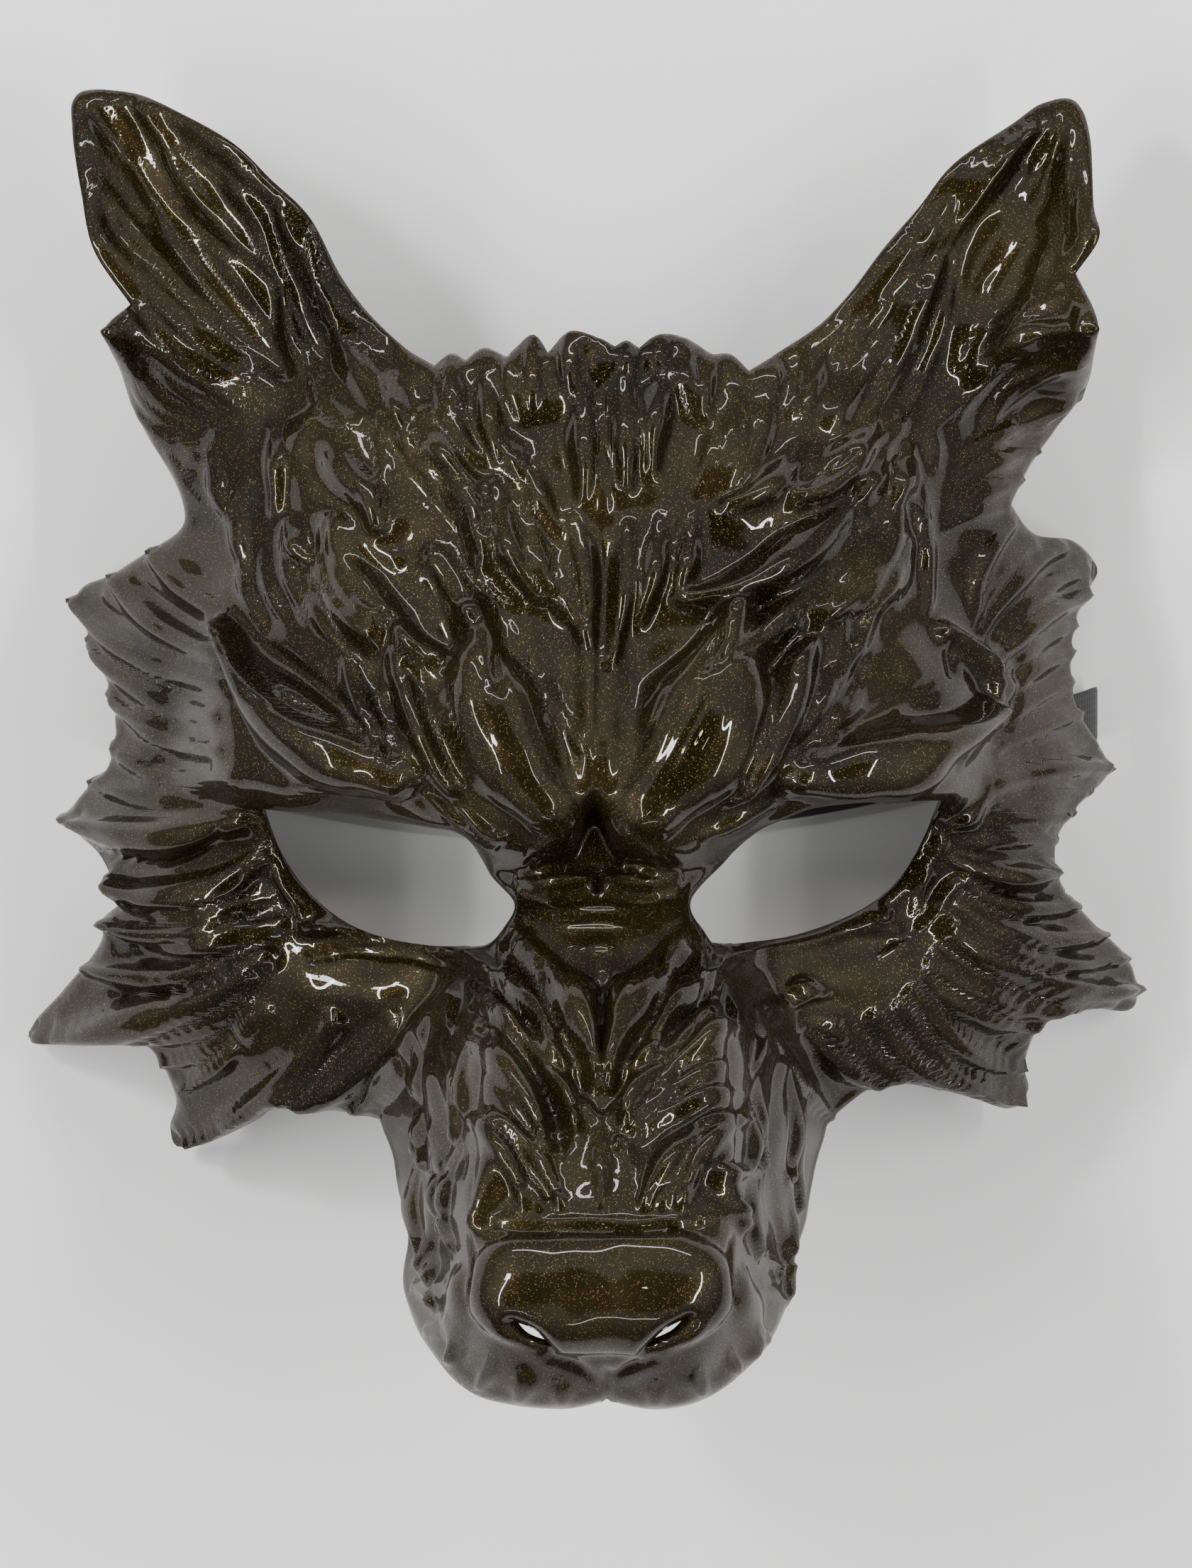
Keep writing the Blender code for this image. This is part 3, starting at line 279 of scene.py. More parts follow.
LEFT_TUFT_LOCKS = (
    (330, 870, 212, 775, 0.06, 22, 1), (330, 925, 158, 812, 0.08, 24, 1.1),
    (320, 965, 106, 848, 0.08, 26, 1.2), (310, 1010, 124, 905, 0.08, 24, 1),
    (315, 1060, 148, 975, 0.08, 22, 0.9), (330, 1100, 152, 1045, 0.1, 22, 0.9),
    (345, 1150, 92, 1152, 0.12, 30, 1.3), (300, 1110, 130, 1100, 0.1, 20, 0.9),
    (360, 1212, 140, 1235, 0.2, 34, 1.3), (390, 1262, 150, 1262, 0.1, 18, 0.8),
    (400, 1300, 160, 1300, 0.1, 30, 1.1), (380, 1345, 120, 1365, 0.08, 26, 1),
    (350, 1375, 52, 1450, 0.08, 34, 1.3), (350, 1410, 190, 1465, 0.08, 22, 0.9),
    (380, 1425, 228, 1500, 0.06, 22, 0.8), (345, 1430, 262, 1530, 0.1, 24, 1.2),
    (470, 1440, 250, 1612, 0.12, 40, 1.4), (560, 1440, 380, 1560, 0.1, 34, 0.9),
    (610, 1430, 500, 1565, 0.08, 30, 0.8), (690, 1362, 440, 1312, -0.14, 26, 0.8),
    (430, 1300, 372, 1195, -0.08, 18, 0.8), (690, 1390, 440, 1350, -0.12, 14, -1),
    (320, 1170, 170, 1200, 0.16, 10, -1.2), (345, 1290, 190, 1330, 0.1, 9, -1),
    (330, 1360, 160, 1400, 0.08, 9, -1), (340, 1420, 270, 1520, 0.1, 9, -1),
    (300, 1080, 170, 1060, 0.08, 9, -1), (300, 1040, 150, 1000, 0.08, 9, -0.9),
    (300, 900, 190, 810, 0.06, 9, -0.9),
)
RIGHT_TUFT_LOCKS = (
    (1370, 860, 1425, 740, 0.13, 18, 1), (1375, 880, 1462, 765, 0.13, 17, 0.9),
    (1380, 905, 1500, 772, 0.13, 20, 1.2), (1385, 930, 1545, 800, 0.13, 19, 1),
    (1388, 955, 1535, 840, 0.13, 20, 1.2), (1390, 980, 1520, 880, 0.1, 17, 0.8),
    (1392, 1005, 1514, 920, 0.1, 19, 1), (1395, 1030, 1512, 960, 0.06, 16, 0.8),
    (1398, 1055, 1528, 1005, 0.06, 19, 1), (1400, 1080, 1545, 1050, 0.06, 16, 0.8),
    (1400, 1108, 1562, 1083, 0.06, 21, 1.3), (1398, 1135, 1540, 1118, 0, 16, 0.8),
    (1390, 1160, 1518, 1148, 0, 19, 1), (1370, 1190, 1494, 1185, 0.06, 16, 0.7),
    (1350, 1215, 1494, 1225, -0.1, 20, 1), (1350, 1240, 1525, 1275, -0.13, 17, 0.9),
    (1345, 1265, 1560, 1315, -0.13, 21, 1.2), (1340, 1290, 1590, 1350, -0.13, 19, 0.9),
    (1335, 1315, 1604, 1395, -0.13, 24, 1.3), (1320, 1335, 1570, 1415, -0.13, 18, 0.8),
    (1310, 1355, 1520, 1425, -0.1, 21, 1), (1300, 1375, 1468, 1450, -0.1, 18, 0.8),
    (1285, 1395, 1448, 1505, -0.13, 22, 1.2), (1265, 1415, 1440, 1550, -0.13, 23, 1),
    (1230, 1430, 1385, 1545, -0.1, 24, 1), (1180, 1440, 1320, 1535, -0.1, 23, 0.7),
    (1130, 1450, 1240, 1525, -0.06, 26, 0.9), (1090, 1460, 1172, 1575, -0.06, 19, 0.7),
    (1005, 1350, 1245, 1290, 0.22, 24, 1), (1290, 1280, 1330, 1185, 0.1, 15, 0.8),
    (1300, 1300, 1385, 1225, 0.1, 13, 0.9), (1400, 960, 1450, 955, 0, 10, 0.8),
    (1385, 1130, 1340, 1165, 0.06, 16, 0.9), (1290, 1320, 1240, 1345, 0.06, 13, 0.5),
    (1395, 1040, 1520, 1000, 0.04, 9, -0.7), (1395, 1120, 1540, 1100, 0.06, 9, -0.7),
    (1350, 1228, 1510, 1258, -0.1, 9, -0.8), (1320, 1330, 1560, 1405, -0.08, 9, -0.8),
    (1290, 1390, 1440, 1480, -0.08, 9, -0.8),
)
BRIDGE_LOCKS = (
    (830, 1128, 745, 1206, 0.06, 9, 0.7), (843, 1128, 920, 1202, -0.06, 9, 0.7),
    (735, 1239, 834, 1240, -0.04, 19, 1.2), (954, 1235, 852, 1240, 0.04, 19, 1.2),
    (745, 1212, 842, 1222, -0.06, 8, -1.4), (942, 1208, 842, 1222, 0.06, 8, -1.4),
    (742, 1264, 948, 1263, -0.04, 8, -1.5), (842, 1226, 843, 1262, 0, 7, -1.4),
    (775, 1280, 905, 1283, 0.03, 10, 0.8), (785, 1304, 905, 1312, 0.02, 9, 0.7),
    (805, 1334, 875, 1338, -0.03, 9, 0.7), (740, 1298, 848, 1390, -0.03, 11, -1.5),
    (957, 1298, 850, 1390, 0.03, 11, -1.5), (748, 1330, 842, 1520, 0.08, 40, 1.4),
    (945, 1330, 856, 1520, -0.08, 40, 1.4), (712, 1350, 785, 1470, -0.06, 24, 1),
    (985, 1352, 915, 1470, 0.06, 24, 1), (765, 1370, 790, 1440, 0, 8, -1),
    (930, 1340, 925, 1380, 0, 8, -0.9), (848, 1395, 848, 1490, 0, 10, 0.8),
    (700, 1388, 770, 1500, 0.06, 13, -1.5), (770, 1500, 846, 1560, 0.06, 13, -1.5),
    (992, 1400, 925, 1500, -0.06, 13, -1.5), (925, 1500, 850, 1560, -0.06, 13, -1.5),
    (690, 1410, 815, 1600, 0.1, 26, 1.2), (1004, 1420, 872, 1605, -0.1, 26, 1.2),
    (665, 1420, 790, 1615, 0.14, 13, -1.4), (1020, 1500, 890, 1590, -0.1, 16, 1.1),
    (1030, 1535, 885, 1605, -0.08, 12, 1), (660, 1460, 770, 1620, 0.12, 24, 1.2),
    (1040, 1440, 930, 1530, -0.08, 22, 1.2), (845, 1570, 848, 1690, 0, 14, 0.7),
    (700, 1580, 790, 1690, 0.08, 20, 1), (985, 1590, 905, 1690, -0.08, 20, 1),
    (712, 1600, 785, 1692, 0.04, 10, -1.2), (650, 1560, 740, 1690, 0.1, 18, 1),
    (1050, 1560, 960, 1690, -0.1, 18, 1), (830, 1560, 800, 1640, 0, 10, 0.8),
    (865, 1560, 890, 1640, 0, 10, 0.8), (650, 1370, 640, 1450, 0, 14, 1.1),
    (685, 1390, 690, 1450, 0.1, 12, 1), (1025, 1385, 1030, 1450, 0, 14, 1),
    (720, 1310, 705, 1350, 0, 10, 1), (972, 1300, 985, 1345, 0, 10, 1),
    (672, 1708, 1008, 1708, -0.03, 9, 1), (690, 1718, 1000, 1716, -0.03, 10, -1.5),
)
SNOUT_SIDE_LOCKS = (
    (572, 1470, 590, 1640, 0.06, 20, 0.8), (598, 1460, 612, 1640, -0.08, 21, 0.8),
    (628, 1470, 640, 1600, 0.1, 22, 0.8), (592, 1630, 598, 1770, -0.06, 21, 0.8),
    (620, 1590, 626, 1730, 0.08, 21, 0.8), (646, 1610, 640, 1750, -0.1, 21, 0.8),
    (655, 1480, 668, 1580, -0.12, 21, 0.8), (608, 1740, 612, 1830, 0, 24, 0.8),
    (1078, 1500, 1072, 1640, -0.08, 21, 0.8), (1105, 1490, 1098, 1660, 0.08, 21, 0.8),
    (1130, 1540, 1118, 1700, -0.05, 20, 0.8), (1056, 1560, 1052, 1640, 0.08, 21, 0.8),
    (1092, 1660, 1096, 1790, 0.08, 21, 0.8), (1066, 1650, 1066, 1760, -0.1, 22, 0.8),
    (1112, 1710, 1104, 1820, 0, 20, 0.8), (1120, 1440, 1200, 1480, 0.24, 24, 0.8),
    (1092, 1420, 1160, 1400, 0.2, 21, 0.8), (1065, 1420, 1060, 1500, 0.06, 18, 0.8),
    (955, 1604, 1060, 1574, 0.06, 15, 0.9), (985, 1648, 1064, 1642, -0.04, 14, 0.9),
    (1000, 1690, 1050, 1700, -0.06, 12, 0.6), (855, 1922, 856, 1978, 0, 9, -1.6),
    (774, 1901, 848, 1944, 0.08, 8, -1.2), (922, 1904, 850, 1944, -0.08, 8, -1.2),
    (722, 1846, 775, 1880, 0.1, 9, 0.9), (972, 1840, 912, 1880, -0.1, 9, 0.9),
    (663, 1740, 666, 1830, 0.06, 10, -1.3), (1030, 1740, 1030, 1826, -0.06, 10, -1.3),
    (690, 1735, 1000, 1733, 0, 9, -1), (640, 1850, 602, 1864, 0.12, 22, 0.3),
    (655, 1882, 630, 1907, 0.12, 22, 0.3), (692, 1902, 678, 1942, 0.12, 22, 0.3),
    (736, 1922, 732, 1960, 0.14, 22, 0.3), (788, 1935, 792, 1966, 0.08, 20, 0.3),
    (926, 1935, 922, 1966, -0.08, 20, 0.3), (984, 1920, 990, 1952, -0.14, 22, 0.3),
    (1030, 1898, 1042, 1926, -0.12, 22, 0.3), (1058, 1862, 1082, 1882, -0.12, 22, 0.3),
    (1072, 1812, 1104, 1828, -0.12, 22, 0.3), (628, 1800, 588, 1807, 0.12, 22, 0.3),
    (1085, 1765, 1114, 1772, -0.08, 20, 0.3),
)
BULGES = tuple(Lock(*row) for row in (
    (772, 1130, 670, 880, 0.08, 92, 1.3), (920, 1130, 1030, 870, -0.08, 108, 1.3),
    (560, 1095, 335, 905, 0.14, 68, 1.6), (1110, 1095, 1375, 1000, -0.1, 70, 1.6),
    (420, 620, 560, 790, -0.14, 56, 0.6), (470, 740, 625, 960, -0.12, 60, 0.7),
    (1220, 610, 1020, 730, 0.12, 50, 0.5), (1230, 690, 970, 860, 0.12, 50, 0.6),
    (1260, 760, 1110, 940, 0.1, 60, 0.6), (575, 620, 445, 320, 0.06, 52, 0.8),
    (400, 380, 200, 150, 0.04, 34, 0.4), (1175, 590, 1330, 290, 0.02, 56, 0.7),
    (1310, 340, 1450, 185, 0.04, 40, 0.5), (700, 1370, 430, 1310, -0.14, 52, 0.6),
    (1000, 1370, 1260, 1310, 0.14, 52, 0.6), (640, 1400, 330, 1570, 0.1, 62, 0.6),
    (1080, 1420, 1380, 1520, -0.06, 62, 0.6), (380, 1350, 90, 1440, 0.08, 48, 0.6),
    (1330, 1290, 1580, 1390, -0.08, 50, 0.6), (740, 1340, 830, 1560, 0.06, 60, 0.6),
    (955, 1340, 870, 1560, -0.06, 60, 0.6), (650, 1800, 640, 1900, 0, 60, 0.6),
    (1045, 1800, 1060, 1900, 0, 60, 0.6), (700, 1580, 760, 1690, 0.06, 50, 0.5),
    (1000, 1580, 930, 1690, -0.06, 50, 0.5), (330, 930, 150, 840, 0.06, 44, 0.4),
    (1380, 930, 1530, 830, -0.06, 44, 0.4), (350, 1160, 130, 1150, 0.04, 44, 0.4),
    (1390, 1110, 1550, 1085, -0.04, 44, 0.4), (848, 1250, 848, 1380, 0, 90, 0.5),
    (712, 1440, 672, 1720, 0.06, 54, 1), (1000, 1440, 1044, 1720, -0.06, 54, 1),
    (610, 1500, 606, 1780, 0.04, 40, 0.7), (1098, 1500, 1104, 1780, -0.04, 40, 0.7),
    (330, 1290, 150, 1300, 0.04, 50, 0.5), (1360, 1230, 1520, 1270, -0.04, 46, 0.5),
))
LOCKS = tuple(Lock(*row) for row in CREST_LOCKS + FOREHEAD_LOCKS + BROW_LOCKS + EAR_LOCKS + LEFT_TUFT_LOCKS
              + RIGHT_TUFT_LOCKS + BRIDGE_LOCKS + SNOUT_SIDE_LOCKS)

Array = np.ndarray
Point = tuple[float, float]
Colour = tuple[float, float, float]


def smooth_step(low: float, high: float, value: Array) -> Array:
    """A soft ramp.

    Args:
        low: Where the ramp starts.
        high: Where it ends.
        value: The values to place on it.

    Returns:
        0 before low, 1 after high and a smooth rise between.
    """
    share = np.clip((value - low) / (high - low), 0.0, 1.0)
    return share * share * (3.0 - 2.0 * share)


def bend(t: Array | float, start: Array, leave: Array, end: Array, arrive: Array) -> Array:
    """A smooth curve between two places.

    Args:
        t: The share of the way from start to end.
        start: The first place.
        leave: The direction in which the curve leaves it.
        end: The last place.
        arrive: The direction in which the curve comes to it.

    Returns:
        The curve's places there.
    """
    return ((2 * t ** 3 - 3 * t ** 2 + 1) * start + (t ** 3 - 2 * t ** 2 + t) * leave
            + (3 * t ** 2 - 2 * t ** 3) * end + (t ** 3 - t ** 2) * arrive)


def through(knots: Sequence[float], values: Sequence[float], at: Array) -> Array:
    """A smooth curve through knots, held level beyond its ends.

    Args:
        knots: Places of the knots, rising.
        values: The curve's value at each knot.
        at: Where to read the curve.

    Returns:
        The curve's values there.
    """
    knots = np.asarray(knots, dtype=float)
    values = np.asarray(values, dtype=float)
    slopes = np.gradient(values, knots)
    at = np.clip(at, knots[0], knots[-1])
    span = np.clip(np.searchsorted(knots, at, side="right") - 1, 0, len(knots) - 2)
    width = knots[span + 1] - knots[span]
    share = (at - knots[span]) / width
    return bend(share, values[span], slopes[span] * width, values[span + 1], slopes[span + 1] * width)


@dataclass(frozen=True)
class Chart:
    """The front view that the outlines and tables are drawn on."""

    width: float = 0.185
    height: float = 0.219
    left: int = 43
    right: int = 1609
    top: int = 128
    bottom: int = 1981

    def across(self, steps: Array) -> Array:
        """Steps across the mask in metres."""
        return steps * self.width / (self.right - self.left)

    def down(self, steps: Array) -> Array:
        """Steps down the mask in metres."""
        return steps * self.height / (self.bottom - self.top)

    def x(self, column: Array) -> Array:
        """The mask's x of a chart column."""
        return self.across(column - (self.left + self.right) / 2)

    def y(self, row: Array) -> Array:
        """The mask's y of a chart row."""
        return self.down((self.top + self.bottom) / 2 - row)

    def column(self, x: Array) -> Array:
        """The chart column of an x."""
        return x / self.across(1) + (self.left + self.right) / 2

    def row(self, y: Array) -> Array:
        """The chart row of a y."""
        return (self.top + self.bottom) / 2 - y / self.down(1)


@dataclass(frozen=True)
class FaceForm:
    """The broad form of the moulding: dome, brow, eye sockets, ears and snout."""

    chart: Chart
    depth: float = 0.115
    dome_power: float = 2.6
    brow_rise: float = 0.0095
    brow_shelf: int = 55
    brow_run: int = 330
    brow_span: tuple[int, int] = (490, 580)
    socket_depth: float = 0.0065
    socket_reach: tuple[int, int] = (290, 170)
    socket_floor: float = 0.35
    sockets: tuple[tuple[int, int], ...] = ((530, 1240), (1165, 1235))
    ear_cup: float = 0.0065
    ear_heights: tuple[float, float] = (0.315, 0.195)
    ear_taper: float = 0.62
    ear_lean: float = 0.35
    ear_level: float = 0.55
    ear_rows: tuple[int, int] = (610, 460)
    ear_span: tuple[int, int] = (190, 330)
    snout_middle: int = 848
    snout_ridge: int = 12
    snout_roundness: float = 0.30
    merge: float = 0.05
    slope_step: float = 0.0004

    def down_the_face(self, rows: Sequence[NamedTuple], name: str, y: Array) -> Array:
        """Read one column of a table down the face.

        Args:
            rows: The table, with a y in chart rows.
            name: The column to read.
            y: Where to read it, in metres.

        Returns:
            The column as a smooth curve of y.
        """
        knots = [-self.chart.y(row.y) for row in rows]
        return through(knots, [getattr(row, name) for row in rows], -y)

    def dome(self, x: Array, y: Array) -> Array:
        """Height of the face's dome.

        Args:
            x: Places across the mask.
            y: Places up the mask.

        Returns:
            Heights over the table, before the shell is set down on it.
        """
        crown = self.down_the_face(DOME, "crown", y) * self.depth
        half = self.dome_half(y)
        return crown * (1.0 - np.minimum(np.abs(x) / half, 1.25) ** self.dome_power)

    def dome_half(self, y: Array) -> Array:
        """Half width at which the dome meets the table."""
        return self.chart.across(self.down_the_face(DOME, "half_width", y))

    def ears(self, x: Array, y: Array) -> Array:
        """Height of the dished ears.

        Args:
            x: Places across the mask.
            y: Places up the mask.

        Returns:
            The left ear's height on the left side and the right ear's on the right.
        """
        height = np.zeros_like(x)
        for ear in EARS:
            start = np.array((self.chart.x(ear.base[0]), self.chart.y(ear.base[1])))
            line = np.array((self.chart.x(ear.tip[0]), self.chart.y(ear.tip[1]))) - start
            length = float(np.hypot(*line))
            line /= length
            along = ((x - start[0]) * line[0] + (y - start[1]) * line[1]) / length
            across = -(x - start[0]) * line[1] + (y - start[1]) * line[0]
            width = self.chart.across(ear.half_width) * (1.0 - self.ear_taper * np.clip(along, 0.0, 1.0))
            share = np.clip(across / width, -1.5, 1.5)
            low, high = self.ear_heights
            middle = low + (high - low) * np.clip(along, -0.3, 1.1)
            outward = share * np.sign(start[0]) * np.sign(line[1])
            dish = self.ear_cup * (share ** 2 - self.ear_level - self.ear_lean * outward)
            height = np.where(np.sign(x) == np.sign(start[0]), middle * self.depth + dish, height)
        return height

    def snout(self, x: Array, y: Array) -> Array:
        """Height of the snout.

        Args:
            x: Places across the mask.
            y: Places up the mask.

        Returns:
            Heights of its rounded top and its walls.
        """
        top_half = self.chart.across(self.down_the_face(SNOUT, "top_half", y))
        rim_half = self.chart.across(self.down_the_face(SNOUT, "rim_half", y))
        top = self.down_the_face(SNOUT, "top", y) * self.depth
        rim = self.down_the_face(SNOUT, "rim", y) * self.depth
        away = np.sqrt((x - self.chart.x(self.snout_middle)) ** 2 + self.chart.across(self.snout_ridge) ** 2)
        share = (away - top_half) / (rim_half - top_half)
        wall = (share + np.sqrt(share ** 2 + self.snout_roundness ** 2)) / 2
        return top - (top - rim) * wall

    def brow(self, x: Array, y: Array) -> Array:
        """Rise of the brow over the eyes, with a shelf below it that fades up the forehead.

        Args:
            x: Places across the mask.
            y: Places up the mask.

        Returns:
            How far the brow stands over the dome.
        """
        columns, rows = zip(*BROW_EDGE)
        over = y - self.chart.y(through(columns, rows, self.chart.column(x)))
        shelf = smooth_step(-self.chart.down(self.brow_shelf), 0.0, over)
        fade = 1.0 - smooth_step(0.0, self.chart.down(self.brow_run), over)
        near, far = (self.chart.across(steps) for steps in self.brow_span)
        return self.brow_rise * shelf * fade * (1.0 - smooth_step(near, far, np.abs(x)))

    def eye_sockets(self, x: Array, y: Array) -> Array:
        """Depth of the eye sockets.

        Args:
            x: Places across the mask.
            y: Places up the mask.

        Returns:
            How far the face sinks there.
        """
        depth = np.zeros_like(x)
        for column, row in self.sockets:
            reach = np.hypot((x - self.chart.x(column)) / self.chart.across(self.socket_reach[0]),
                             (y - self.chart.y(row)) / self.chart.down(self.socket_reach[1]))
            depth += self.socket_depth * (1.0 - smooth_step(self.socket_floor, 1.0, reach))
        return depth

    def height(self, x: Array, y: Array) -> Array:
        """Height of the whole broad form.

        Args:
            x: Places across the mask.
            y: Places up the mask.

        Returns:
            Heights before the shell is set down on the table.
        """
        face = self.dome(x, y) + self.brow(x, y) - self.eye_sockets(x, y)
        low, high = (-self.chart.y(row) for row in self.ear_rows)
        near, far = (self.chart.across(steps) for steps in self.ear_span)
        share = smooth_step(low, high, -y) * smooth_step(near, far, np.abs(x))
        face = face * (1.0 - share) + self.ears(x, y) * share
        snout = self.snout(x, y)
        return (face + snout + np.sqrt((face - snout) ** 2 + (self.merge * self.depth) ** 2)) / 2

    def slopes(self, x: Array, y: Array) -> tuple[Array, Array]:
        """Slopes of the broad form.

        Args:
            x: Places across the mask.
            y: Places up the mask.

        Returns:
            Its rise for each metre across and up.
        """
        step = self.slope_step
        across = (self.height(x + step, y) - self.height(x - step, y)) / (2 * step)
        up = (self.height(x, y + step) - self.height(x, y - step)) / (2 * step)
        return across, up

    def normals(self, x: Array, y: Array) -> Array:
        """Unit directions straight out of the broad form.

        Args:
            x: Places across the mask.
            y: Places up the mask.

        Returns:
            One direction for each place.
        """
        across, up = self.slopes(x, y)
        length = np.sqrt(across ** 2 + up ** 2 + 1.0)
        return np.stack((-across / length, -up / length, 1.0 / length), axis=-1)


def line_distance(line: Array, x: Array, y: Array, stretch_x: Array,
                  stretch_y: Array) -> tuple[Array, Array, Array]:
    """Measure places against a line of points.

    Args:
        line: The line's points.
        x: Places across.
        y: Places up.
        stretch_x: How much longer a step across is on the slope than on the chart.
        stretch_y: And a step up.

    Returns:
        The distance of each place, the same with its sign by side, and the share of the line passed.
    """
    nearest = np.full(x.shape, 1e9)
    signed = np.zeros(x.shape)
    along = np.zeros(x.shape)
    pieces = len(line) - 1
    for index in range(pieces):
        start, run = line[index], line[index + 1] - line[index]
        off_x, off_y = (x - start[0]) * stretch_x, (y - start[1]) * stretch_y
        run_x, run_y = run[0] * stretch_x, run[1] * stretch_y
        square = np.maximum(run_x ** 2 + run_y ** 2, 1e-14)
        t = np.clip((off_x * run_x + off_y * run_y) / square, 0.0, 1.0)
        distance = np.hypot(off_x - t * run_x, off_y - t * run_y)
        closer = distance < nearest
        nearest = np.where(closer, distance, nearest)
        side = np.sign(run_x * off_y - run_y * off_x)
        signed = np.where(closer, distance * side, signed)
        along = np.where(closer, (index + t) / pieces, along)
    return nearest, signed, along


class Fur(NamedTuple):
    """The fur at each place: its relief, the way off its lock's middle line, and how furry it is."""

    relief: Array
    strand: Array
    depth: Array


